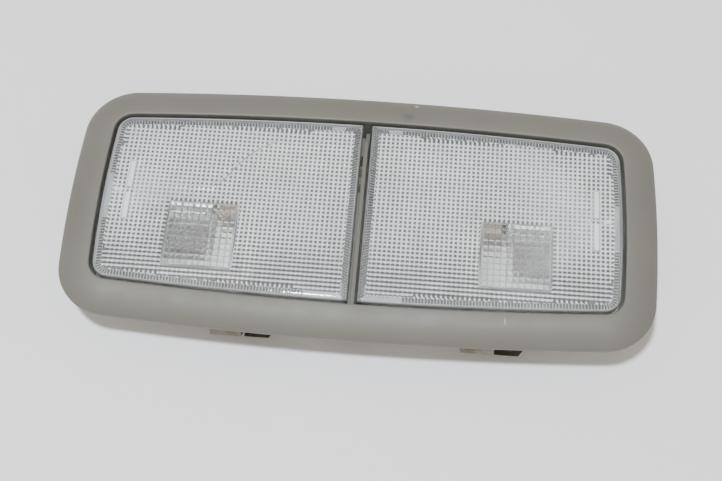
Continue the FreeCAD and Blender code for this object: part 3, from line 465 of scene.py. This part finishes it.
# painted shade: how dark the grooves and edges are painted
grooveShadeTone = {
    "crossing": 1.0, "row": 0.62, "rowStart": -8.0, "rowFade": 14.0, "crease": 0.6,
    "windowEdge": 0.55, "windowRim": 0.4, "fieldEdge": 0.1, "fieldNotch": 0.9,
    "ribValley": 0.9, "ribTop": 0.34, "ribNearDivider": 0.42, "plain": 0.42,
    "wall": 0.44, "wallNearDivider": 0.52, "markEdge": 0.75, "barEdge": 0.3, "barTop": 0.22,
}
# painted sheen: how much white stands in for the prisms' silvery reflection
paintedSheenTone = {
    "prism": 1.0, "crease": 0.5, "window": 0.05, "rib": 0.75, "wall": 0.85, "mark": 0.95, "bar": 1.5,
}


# half outline beyond the divider, moved in by d all round, always the same number of points
def lensOutline(d, side):
    inset, innerX, joinX = lens["inset"] + d, lens["innerX"] + d, lens["joinX"]
    radius = bezel["longRadius"] - inset
    runs, innerSteps = lens["joinSteps"], lens["innerSteps"]

    def longSideY(x):
        return longCentre + math.sqrt(radius ** 2 - x ** 2)

    ring = outlinePoints(lens["ribStep"], lens["inset"] + lens["skirt"])
    beyond = joinX + lens["joinGap"]
    far = [(x - nx * inset, y - ny * inset) for x, y, nx, ny in ring if x > beyond]
    xs = [innerX + (joinX - innerX) * i / runs for i in range(runs + 1)]
    loop = [(x, -longSideY(x)) for x in xs] + far + [(x, longSideY(x)) for x in reversed(xs)]
    edge = longSideY(innerX)
    loop += [(innerX, edge - 2 * edge * i / innerSteps) for i in range(1, innerSteps)]
    if side < 0:
        loop = [(-x, y) for x, y in reversed(loop)]
    return loop


# flat triangulation of loops and loose points; each point is x, y, height and tone
def fillSheet(loops, points, links):
    coords, carried, edges = [], [], []
    for loop in loops:
        start, n = len(coords), len(loop)
        coords += [Vector(p[:2]) for p in loop]
        carried += [p[2:] for p in loop]
        edges += [(start + i, start + (i + 1) % n) for i in range(n)]
    edges += [(len(coords) + a, len(coords) + b) for a, b in links]
    coords += [Vector(p[:2]) for p in points]
    carried += [p[2:] for p in points]
    outCoords, _, outFaces, origin, _, _ = delaunay_2d_cdt(coords, edges, [], 1, 1e-5)
    values = [carried[source[0]] if source else carried[0] for source in origin]
    verts = [(p.x, p.y, v[0]) for p, v in zip(outCoords, values)]
    return verts, [tuple(f) for f in outFaces], [v[1] for v in values]


def rectLoop(centre, size, z, tone=0.0):
    (cx, cy), (w, h) = centre, size
    signs = ((-1, -1), (1, -1), (1, 1), (-1, 1))
    return [(cx + a * w / 2, cy + b * h / 2, z, tone) for a, b in signs]


def inWindow(side, x, y, margin):
    wx, wy, ww, wh = lens["window"]
    return abs(x - wx * side) < ww / 2 + margin and abs(y - wy) < wh / 2 + margin


# painted shade: dark dots where the grooves cross, and prism tips between them
def prismPoints(side):
    plate, pitch = lens["plate"], lens["pitch"]
    field = lens["inset"] + lens["skirt"] + lens["band"]
    fieldX = lens["innerX"] + lens["skirt"] + lens["band"] + lens["fieldGap"]
    columns, rows = int(bezel["halfLength"] / pitch), int(bezel["halfWidth"] / pitch)
    points, links, corners = [], [], {}

    def inField(x, y, margin=0.0):
        if abs(x) < fieldX + margin or x * side < 0 or depthInside(x, y) < field + margin:
            return False
        return not inWindow(side, x, y, lens["windowGap"] + margin)

    for i in range(columns):
        for j in range(-rows, rows + 1):
            x, y = side * (fieldX + i * pitch), j * pitch
            if inField(x, y):
                corners[i, j] = len(points)
                points.append((x, y, plate, grooveShadeTone["crossing"]))
    # one more painted shade dot in a wide strip at the end of a row or column
    for i, j in corners:
        x, y = side * (fieldX + i * pitch), j * pitch
        for di, dj in ((1, 0), (-1, 0), (0, 1), (0, -1)):
            between = (x + side * di * pitch / 2, y + dj * pitch / 2)
            if (i + di, j + dj) not in corners and inField(*between):
                points.append((*between, plate, grooveShadeTone["crossing"]))
    # painted shade: the grooves are light between two dots, but low down those along x are painted darker
    for (i, j), here in corners.items():
        for di, dj in ((1, 0), (0, 1)):
            there = corners.get((i + di, j + dj))
            if there is None:
                continue
            x, y = ((points[here][k] + points[there][k]) / 2 for k in (0, 1))
            low = min(max((grooveShadeTone["rowStart"] - y) / grooveShadeTone["rowFade"], 0.0), 1.0)
            links += [(here, len(points)), (len(points), there)]
            points.append((x, y, plate, grooveShadeTone["row"] * low * di))
    for i in range(-1, columns):
        for j in range(-rows - 1, rows + 1):
            tip = (side * (fieldX + (i + 0.5) * pitch), (j + 0.5) * pitch)
            if not inField(*tip, lens["tipMargin"]):
                continue
            around = [corners.get(c) for c in ((i, j), (i + 1, j), (i, j + 1), (i + 1, j + 1))]
            links += [(c, len(points)) for c in around if c is not None]
            points.append((*tip, plate - lens["prism"], 0.0))
    return points, links


# shallow domes in the window, parted by fine creases with painted shade
def pillowPoints(side):
    wx, wy, ww, wh = lens["window"]
    ceiling = lens["plate"] + lens["windowDepth"]
    fine = lens["pillowSteps"]
    stepsX, stepsY = round(ww / lens["pillow"]) * fine, round(wh / lens["pillow"]) * fine
    points = []
    for i in range(1, stepsX):
        for j in range(1, stepsY):
            x = wx * side - ww / 2 + ww * i / stepsX
            y = wy - wh / 2 + wh * j / stepsY
            rise = abs(math.sin(math.pi * i / fine)) * abs(math.sin(math.pi * j / fine))
            tone = 0.0 if i % fine and j % fine else grooveShadeTone["crease"]
            points.append((x, y, ceiling - lens["pillowRise"] * math.sqrt(rise), tone))
    return points


# underside of the plate
def prismSheet(side):
    plate = lens["plate"]
    wx, wy, ww, wh = lens["window"]
    points, links = prismPoints(side)
    points += pillowPoints(side)
    centre, rim = (wx * side, wy), lens["windowRim"]
    # painted shade round the window's edge
    window = rectLoop(centre, (ww, wh), plate + lens["windowDepth"], grooveShadeTone["windowEdge"])
    border = rectLoop(centre, (ww + rim, wh + rim), plate, grooveShadeTone["windowRim"])
    edge = []
    # painted shade along the edge of the prism field, darker at every third point
    for k, (x, y) in enumerate(lensOutline(lens["skirt"] + lens["band"] - lens["bandGap"], side)):
        edge.append((x, y, plate, grooveShadeTone["fieldEdge"] if k % 3 else grooveShadeTone["fieldNotch"]))
    verts, faces, groove = fillSheet([edge, window, border], points, links)
    # painted sheen over the prisms, little in the window
    frost = []
    for (x, y, z), tone in zip(verts, groove):
        if not inWindow(side, x, y, rim / 4):  # half way to the rim's own corners
            frost.append(paintedSheenTone["prism"])
        else:
            frost.append(paintedSheenTone["crease"] if tone > 0.5 else paintedSheenTone["window"])
    return verts, faces, groove, frost


# ribs across the edge band with painted shade, darker near the divider, left plain beside the ears and the
# catch
def ribStrip(side):
    plate, nearDivider = lens["plate"], 5.0
    inner, end = lens["band"] - lens["bandGap"], lens["ribEnd"]
    rows = [lensOutline(lens["skirt"] + d, side) for d in (0.0, end, inner - end, inner)]
    verts, groove = [], []
    for r, row in enumerate(rows):
        for k, (x, y) in enumerate(row):
            plainRun = lens["plainRear"] if y > 0 else lens["plainFront"]
            plain = abs(abs(x) - lens["pivot"][0]) < plainRun and abs(y) > lens["plainY"]
            plain = plain or (abs(x) > lens["plainX"] and abs(y) < lens["catchHalf"])
            ribbed = r in (1, 2) and not plain
            if ribbed and k % 2:
                verts.append((x, y, plate - lens["rib"]))
                groove.append(grooveShadeTone["ribTop" if abs(x) > nearDivider else "ribNearDivider"])
            else:
                verts.append((x, y, plate))
                groove.append(grooveShadeTone["ribValley" if ribbed else "plain"])
    return verts, ringFaces(len(rows[0]), len(rows)), groove


# outer face with the press mark, painted shade on its edges, and, on the left, the crack
def faceSheet(side):
    top, slope, gap = lens["top"], lens["markSlope"], lens["markGap"]
    mx, my, mw, mh = lens["mark"]
    bx, by, bw, bh = lens["bar"]
    loops = [[(x, y, top, 0.0) for x, y in lensOutline(lens["edge"], side)]]
    for low, high in ((my - mh / 2, by - bh / 2 - gap), (by + bh / 2 + gap, my + mh / 2)):
        centre, height = (mx * side, (low + high) / 2), high - low
        loops.append(rectLoop(centre, (mw, height), top, grooveShadeTone["markEdge"]))
        loops.append(rectLoop(centre, (mw - slope, height - slope), top + lens["rise"]))
    centre, slope = (bx * side, by), lens["barSlope"]
    loops.append(rectLoop(centre, (bw, bh), top, grooveShadeTone["barEdge"]))
    loops.append(rectLoop(centre, (bw - slope, bh - slope), top + lens["barRise"], grooveShadeTone["barTop"]))
    border = 2 * lens["markBorder"]
    loops.append(rectLoop((mx * side, my), (mw + border, mh + border), top))
    points = crackPoints(top) if side < 0 else []
    return fillSheet(loops, points, [(3 * i, 3 * i + 3) for i in range(len(points) // 3 - 1)])


# a groove along the path, three points at each step: the bottom and its two banks
def crackPoints(top):
    path = lens["crackPath"]
    last = len(path) - 1
    points = []
    for i, (x, y) in enumerate(path):
        ahead = Vector(path[min(i + 1, last)]) - Vector(path[max(i - 1, 0)])
        across = Vector((-ahead.y, ahead.x)).normalized()
        width = lens["crackWidth"] * (1 - i / len(path) * lens["crackTaper"])
        share = 1.0 if 0 < i < last else 0.0  # closed at both ends
        points.append((x, y, top - lens["crackDepth"] * share, share))
        for sign in (1, -1):
            points.append((x + across.x * width * sign, y + across.y * width * sign, top, 0.0))
    return points


# rounded edge and skirt, from the outer face round to the underside
def traySides(side):
    top, bottom, edge, skirt = lens["top"], lens["bottom"], lens["edge"], lens["skirt"]
    stations = []
    for i in range(lens["edgeSteps"] + 1):
        t = math.pi / 2 * i / lens["edgeSteps"]
        stations.append((edge * (1 - math.sin(t)), top - edge * (1 - math.cos(t))))
    stations += [(0.0, bottom), (skirt * lens["skirtFoot"], bottom), (skirt, lens["plate"])]
    loops = [[(x, y, z) for x, y in lensOutline(d, side)] for d, z in stations]
    verts = [p for loop in loops for p in loop]
    smoothCount = len(loops[0]) * (lens["edgeSteps"] + 1)  # down to the foot of the skirt
    return verts, ringFaces(len(loops[0]), len(loops)), smoothCount


# ears with their pins, catch with its hook, and pusher
def lensFittings(side):
    px, pz = lens["pivot"]
    px *= side
    edgeY = bezel["halfWidth"] - lens["inset"]
    edgeX = bezel["halfLength"] - lens["inset"]
    legTop = lens["bottom"] - lens["legGap"]
    parts = []
    for sy, width in ((1, lens["earRear"]), (-1, lens["earFront"])):
        legIn, legOut = sy * (edgeY - lens["legIn"]), sy * (edgeY - lens["legOut"])
        earLow = pz - lens["earDrop"]
        parts.append(boxPart((px - width / 2, legIn, earLow), (px + width / 2, legOut, legTop)))
        pinIn, pinOut = sorted((sy * (edgeY - lens["pinIn"]), sy * (edgeY + lens["pinOut"])))
        parts.append(rodPart((px, pinIn, pz), (px, pinOut, pz), lens["pinRadius"]))
    half, low = lens["catchHalf"], lens["catchLow"]
    legIn, legOut = side * (edgeX - lens["legIn"]), side * (edgeX - lens["legOut"])
    parts.append(boxPart((legIn, -half, low), (legOut, half, legTop)))
    half = lens["hookHalf"]
    hookIn, hookOut = side * (edgeX - lens["hookIn"]), side * (edgeX + lens["hookOut"])
    parts.append(boxPart((hookIn, -half, low), (hookOut, half, lens["hookTop"])))
    x, (halfX, halfY) = lens["pusherX"] * side, lens["pusherHalf"]
    pusherTop = lens["plate"] - lens["prism"] - lens["pusherGap"]
    parts.append(boxPart((x - halfX, -halfY, lens["pusherLow"]), (x + halfX, halfY, pusherTop)))
    return joinParts(parts)


def makeLens(side, word):
    top, plainEdge, nearDivider = lens["top"], 0.2, 3.0
    trayVerts, trayFaces, smoothCount = traySides(side)
    faceVerts, faceFaces, crack = faceSheet(side)
    prismVerts, prismFaces, groove, frost = prismSheet(side)
    ribVerts, ribFaces, ribGrooveShade = ribStrip(side)
    fittings = lensFittings(side)
    underVerts, underFaces = joinParts([(prismVerts, prismFaces), (ribVerts, ribFaces)])
    under = (underVerts, [tuple(reversed(face)) for face in underFaces])
    verts, faces = joinParts([(trayVerts, trayFaces), (faceVerts, faceFaces), under, fittings])
    smooth = [k < smoothCount for k in range(len(faces))]

    cracks, grooveShades, paintedSheens = ([0.0] * len(trayVerts) for _ in range(3))
    # painted shade down the rounded edge and skirt, darker near the divider
    for k, (x, y, z) in enumerate(trayVerts):
        if z < top - plainEdge:
            grooveShades[k] = grooveShadeTone["wall" if abs(x) > nearDivider else "wallNearDivider"]
            paintedSheens[k] = paintedSheenTone["wall"]
    # painted sheen on the raised press mark and bar
    barTop, markTop = top + lens["barRise"], top + lens["rise"]
    raised = {round(barTop, 3): paintedSheenTone["bar"], round(markTop, 3): paintedSheenTone["mark"]}
    cracks += crack
    grooveShades += [0.0] * len(faceVerts)
    paintedSheens += [raised.get(round(z, 3), 0.0) for x, y, z in faceVerts]
    plain = [0.0] * len(fittings[0])
    cracks += [0.0] * len(underVerts) + plain
    grooveShades += groove + ribGrooveShade + plain
    paintedSheens += frost + [paintedSheenTone["rib"]] * len(ribVerts) + plain

    attributes = {"crack": cracks, "groove": grooveShades, "frost": paintedSheens}
    obj = addMesh("lensShell_" + word, verts, faces, smooth, attributes)
    weld(obj)
    obj.data.materials.append(lensMaterial)
    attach(obj, "lens_" + word)
    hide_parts("lens_" + word)
    print("lens", word, len(obj.data.polygons), "faces")


# clear plastic with a painted white sheen for the prisms' silvery reflection, painted shade in the grooves
# and edges, light haze and a grey crack
def makeLensMaterial():
    s = Shader("lensClear")
    bsdf = s.add("BsdfPrincipled")
    bsdf.inputs["IOR"].default_value = lens["index"]
    bsdf.inputs["Transmission Weight"].default_value = 1.0
    haze = s.ramp(s.noise(90.0, detail=6.0, roughness=0.65), low=0.42, high=0.75)
    s.link(s.mixColour(haze, lens["tint"], lens["hazeTint"]), bsdf.inputs["Base Color"])
    wear = s.noise(3200.0, detail=3.0, roughness=0.7)
    s.link(s.ramp(wear, low=0.35, high=0.75, start=0.02, end=0.09), bsdf.inputs["Roughness"])

    crack = s.attribute("crack")
    groove = s.ramp(s.attribute("groove"), low=0.22, high=0.56)
    # painted sheen: white diffuse standing in for the prisms' silvery reflection
    silver = s.add("BsdfPrincipled")
    silver.inputs["Roughness"].default_value = lens["silverRoughness"]
    colour = s.mixColour(haze, lens["silver"], lens["hazeSilver"])
    # painted shade in the grooves and along the edges
    colour = s.mixColour(s.maths("MULTIPLY", groove, lens["dotCover"]), colour, lens["dot"])
    s.link(s.mixColour(crack, colour, lens["crack"]), silver.inputs["Base Color"])
    hiding = s.ramp(groove, low=0.0, high=1.0, start=lens["cover"], end=lens["dotCover"])
    hidden = s.maths("MULTIPLY", s.attribute("frost"), hiding)
    cover = s.maths("MAXIMUM", hidden, s.maths("MULTIPLY", crack, lens["crackCover"]))
    body = s.mixShader(cover, bsdf, silver)
    s.toSurface(s.passLight(body, lens["light"], lens["lightTint"]))
    return s.material


lensMaterial = makeLensMaterial()
makeLens(-1, "left")
makeLens(1, "right")
print("lenses done")


# bulbs: thin glass envelope with a round dome, pinched wedge base, coiled filament on two leads
bulb = {
    "x": 47.0, "y": 4.5, "z": 9.5, "radius": 5.0, "wall": 0.55, "length": 21.0, "tip": 0.02,
    "neck": [(0.0, 3.4), (0.5, 4.4), (1.6, 4.9)], "bodyStart": 3.0, "floor": [(1.5, 4.0), (1.2, 0.02)],
    "domeSteps": 12, "sharpAngle": 50, "wedge": (8.0, 8.0, 2.4), "wedgeBite": 0.05,
    "filament": 11.0, "span": 5.0, "turns": 16, "perTurn": 10, "coil": 0.38, "wire": 0.1, "wireSides": 6,
    "lead": [(1.3, 0.8), (4.0, 0.8), (8.5, 1.0)], "leadRadius": 0.22, "leadSides": 10,
    "glass": (0.96, 0.97, 0.97), "soot": (0.80, 0.79, 0.77), "index": 1.5, "light": 0.9,
}
filamentLook = {
    "colour": (0.30, 0.29, 0.28), "second": (0.22, 0.21, 0.21),
    "roughness": (0.25, 0.5), "metallic": 1.0, "dust": 0.1,
}


# from the bulb's own axis to its place in the light
def placeBulb(points, side):
    return [(side * (bulb["x"] + u), bulb["y"] + v, bulb["z"] + w) for u, v, w in points]


def makeBulb(side, word):
    r, tip = bulb["radius"], bulb["tip"]
    inside = r - bulb["wall"]
    shoulder = bulb["length"] - r
    outer = [(0.0, tip)] + bulb["neck"] + [(bulb["bodyStart"], r)]
    inner = []
    for i in range(bulb["domeSteps"] + 1):
        t = math.pi / 2 * i / bulb["domeSteps"]
        outer.append((shoulder + r * math.sin(t), max(r * math.cos(t), tip)))
        inner.append((shoulder + inside * math.sin(t), max(inside * math.cos(t), tip)))
    envelope = turnedPart(outer + inner[::-1] + [(bulb["bodyStart"], inside)] + bulb["floor"])
    length, width, thick = bulb["wedge"]
    wedge = boxPart((-length, -width / 2, -thick / 2), (bulb["wedgeBite"], width / 2, thick / 2))
    verts, faces = joinParts([envelope, wedge])
    glass = addMesh("bulbGlass_" + word, placeBulb(verts, side), faces)
    glass.data.set_sharp_from_angle(angle=math.radians(bulb["sharpAngle"]))
    weld(glass)
    glass.data.materials.append(glassMaterial)
    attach(glass, "case")
    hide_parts("bulb_" + word)


# a helix between the tips of two bent leads
def makeFilament(side, word):
    middle, span, coilRadius = bulb["filament"], bulb["span"], bulb["coil"]
    steps = bulb["turns"] * bulb["perTurn"]
    path = []
    for i in range(steps + 1):
        t = 2 * math.pi * i / bulb["perTurn"]
        u, w = middle + coilRadius * math.cos(t), coilRadius * math.sin(t)
        path.append(Vector((u, span * (i / steps - 0.5), w)))
    parts = [tubePart(path, bulb["wire"], bulb["wireSides"])]
    for y in (span / 2, -span / 2):
        bent = [Vector((u, y * share, 0)) for u, share in bulb["lead"]]
        bent.append(Vector((middle, y, coilRadius)))
        parts.append(tubePart(bent, bulb["leadRadius"], bulb["leadSides"]))
    verts, faces = joinParts(parts)
    coil = addMesh("filamentCoil_" + word, placeBulb(verts, side), faces)
    coil.data.materials.append(filamentMaterial)
    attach(coil, "case")
    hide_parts("filament_" + word)


def makeGlass():
    s = Shader("bulbGlass")
    bsdf = s.add("BsdfPrincipled")
    bsdf.inputs["IOR"].default_value = bulb["index"]
    bsdf.inputs["Transmission Weight"].default_value = 1.0
    soot = s.ramp(s.noise(160.0, detail=5.0), low=0.45, high=0.8)
    s.link(s.mixColour(soot, bulb["glass"], bulb["soot"]), bsdf.inputs["Base Color"])
    smears = s.ramp(s.noise(700.0, detail=3.0), low=0.4, high=0.8, start=0.01, end=0.09)
    s.link(smears, bsdf.inputs["Roughness"])
    s.toSurface(s.passLight(bsdf, bulb["light"]))
    return s.material


glassMaterial = makeGlass()
filamentMaterial = solidFinish("filamentWire", filamentLook)
for side, word in ((-1, "left"), (1, "right")):
    makeBulb(side, word)
    makeFilament(side, word)
print("bulbs done")


# switch springs: round wire from the floor up to the flange
spring = {
    "x": 75.5, "low": 2.0, "high": 8.6, "radius": 1.75, "wire": 0.25, "wireSides": 10,
    "turns": 4, "perTurn": 24, "pressed": 0.56,
    "colour": (0.55, 0.54, 0.52), "second": (0.42, 0.41, 0.40),
    "roughness": (0.22, 0.4), "metallic": 1.0, "dust": 0.12,
}
springMaterial = solidFinish("springWire", spring)


def makeSpring(side, word):
    low, high = spring["low"] + spring["wire"], spring["high"] - spring["wire"]
    steps = spring["turns"] * spring["perTurn"]
    path = []
    for i in range(steps + 1):
        t = 2 * math.pi * i / spring["perTurn"]
        x, y = spring["radius"] * math.cos(t), spring["radius"] * math.sin(t)
        path.append(Vector((side * spring["x"] + x, y, low + (high - low) * i / steps)))
    verts, faces = tubePart(path, spring["wire"], spring["wireSides"])
    coil = addMesh("springCoil_" + word, verts, faces)
    coil.data.materials.append(springMaterial)
    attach(coil, "case")
    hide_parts("switch_spring_" + word)
    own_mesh(coil)


makeSpring(-1, "left")
makeSpring(1, "right")
print("springs done")


# finishes of the pieces that keep their imported shape
# painted shade: a dark streak on the floor and strips under the divider, between the lenses
gapDirt = {
    "centre": (0.0, 0.0, 6.0), "radius": 6.0, "squash": (1.0, 0.04, 0.08), "colour": (0.10, 0.095, 0.08),
}
finishes = {
    "housing": {
        # grey rather than off-white: painted shade for the inside of the housing
        "slot": "housing_plastic", "colour": (0.53, 0.525, 0.49), "second": (0.47, 0.465, 0.43),
        "roughness": (0.42, 0.6), "dust": 0.18, "dustColour": (0.45, 0.41, 0.34), "grain": 0.12,
        "gapDirt": gapDirt,
    },
    "mounting_clips": {
        "slot": "spring_steel", "colour": (0.22, 0.205, 0.175), "second": (0.15, 0.125, 0.095),
        "roughness": (0.3, 0.55), "metallic": 0.9, "dust": 0.35, "dustColour": (0.20, 0.13, 0.08),
        "patchScale": 300.0,
    },
    "bezel_screws": {
        "slot": "zinc_steel", "colour": (0.62, 0.62, 0.60), "second": (0.50, 0.50, 0.47),
        "roughness": (0.25, 0.45), "metallic": 1.0, "dust": 0.25, "dustColour": (0.30, 0.25, 0.18),
    },
    "plug_socket": {
        "slot": "socket_plastic", "colour": (0.66, 0.65, 0.60), "second": (0.58, 0.57, 0.52),
        "roughness": (0.4, 0.6), "dust": 0.2, "gapDirt": gapDirt,
    },
    "plug_pins": {
        "slot": "tinned_brass", "colour": (0.70, 0.69, 0.66), "second": (0.60, 0.57, 0.50),
        "roughness": (0.2, 0.4), "metallic": 1.0, "dust": 0.15,
    },
    "supply_strip": {
        "slot": "brass_strip", "colour": (0.58, 0.50, 0.33), "second": (0.48, 0.40, 0.26),
        "roughness": (0.25, 0.5), "metallic": 1.0, "dust": 0.2, "patchScale": 200.0,
        "gapDirt": gapDirt,
    },
    "bulb_holder": {
        "slot": "holder_plastic", "colour": (0.23, 0.185, 0.13), "second": (0.19, 0.15, 0.10),
        "roughness": (0.4, 0.6), "dust": 0.2,
    },
    "reflector": {
        "slot": "reflector_sheet", "colour": (0.62, 0.62, 0.60), "second": (0.54, 0.53, 0.51),
        "roughness": (0.22, 0.38), "metallic": 1.0, "dust": 0.12, "grainScale": 1500.0,
    },
    "switch_case": {
        "slot": "switch_plastic", "colour": (0.60, 0.59, 0.55), "second": (0.54, 0.53, 0.49),
        "roughness": (0.4, 0.6), "dust": 0.15,
    },
    "switch_plunger": {
        "slot": "plunger_plastic", "colour": (0.70, 0.69, 0.66), "second": (0.62, 0.61, 0.58),
        "roughness": (0.35, 0.5), "dust": 0.12,
    },
    "contact_bridge": {
        "slot": "brass_strip", "colour": (0.74, 0.58, 0.30), "second": (0.60, 0.44, 0.22),
        "roughness": (0.2, 0.45), "metallic": 1.0, "dust": 0.15,
    },
}
sameFinish = {"lamp_strip": "supply_strip", "ground_strip": "supply_strip"}
made = {}
for name, obj in nodes.items():
    if obj.hide_render:  # a scene piece stands in for it
        continue
    kind = name.replace("_left", "").replace("_right", "")
    kind = sameFinish.get(kind, kind)
    if kind not in made:
        made[kind] = solidFinish(kind + "Finish", finishes[kind])
    obj.data.materials.clear()
    obj.data.materials.append(made[kind])
print("finishes done:", len(made))


# pale floor, soft light, camera; places and light sizes are metres
studio = {
    "floorHalf": 2500.0, "world": (1.0, 0.91, 0.82), "worldPower": 0.68,
    "paper": {
        "colour": (0.87, 0.87, 0.875), "second": (0.85, 0.85, 0.86), "roughness": (0.55, 0.7),
        "patchScale": 9.0, "dust": 0.0, "grain": 0.05, "grainScale": 2500.0,
    },
    "mainSoft": {
        "place": (-0.10, -0.09, 1.0), "target": (0, 0, 0), "size": (0.10, 0.08),
        "power": 13.2, "colour": (0.93, 0.985, 1.06),
    },
    "frontStrip": {
        "place": (0.12, -0.62, 0.42), "target": (0.02, -0.03, 0.02), "size": (0.16, 0.10),
        "power": 0.3, "colour": (1.0, 0.98, 0.95),
    },
    "camera": (0.01905, -0.15906, 0.35522), "focal": 57.42, "sensor": 36.0, "clipStart": 0.01,
    "right": (0.9964, 0.0833, -0.0163), "up": (-0.0694, 0.9105, 0.4077), "ahead": (-0.0488, 0.4051, -0.9130),
}


def makeStage():
    half = studio["floorHalf"]
    corners = [(-half, -half, 0), (half, -half, 0), (half, half, 0), (-half, half, 0)]
    floor = addMesh("floorPaper", corners, [(0, 1, 2, 3)])
    floor.data.materials.append(solidFinish("paper", studio["paper"]))
    world = bpy.data.worlds.new("softRoom")
    world.use_nodes = True
    background = world.node_tree.nodes["Background"]
    background.inputs["Color"].default_value = (*studio["world"], 1.0)
    background.inputs["Strength"].default_value = studio["worldPower"]
    bpy.context.scene.world = world


def areaLight(name):
    settings = studio[name]
    place, target = Vector(settings["place"]), Vector(settings["target"])
    data = bpy.data.lights.new(name, "AREA")
    data.shape = "RECTANGLE"
    data.size, data.size_y = settings["size"]
    data.energy = settings["power"]
    data.color = settings["colour"]
    obj = bpy.data.objects.new(name, data)
    obj.location = place
    obj.rotation_euler = (target - place).to_track_quat("-Z", "Y").to_euler()
    bpy.context.scene.collection.objects.link(obj)


def makeCamera():
    data = bpy.data.cameras.new("photoView")
    data.lens = studio["focal"]
    data.sensor_width = studio["sensor"]
    data.clip_start = studio["clipStart"]
    right, up, ahead = (Vector(studio[k]).normalized() for k in ("right", "up", "ahead"))
    cam = bpy.data.objects.new("photoView", data)
    turn = Matrix((right, up, -ahead)).transposed()
    cam.matrix_world = Matrix.Translation(Vector(studio["camera"])) @ turn.to_4x4()
    bpy.context.scene.collection.objects.link(cam)
    bpy.context.scene.camera = cam


makeStage()
areaLight("mainSoft")
areaLight("frontStrip")
makeCamera()
print("stage done")
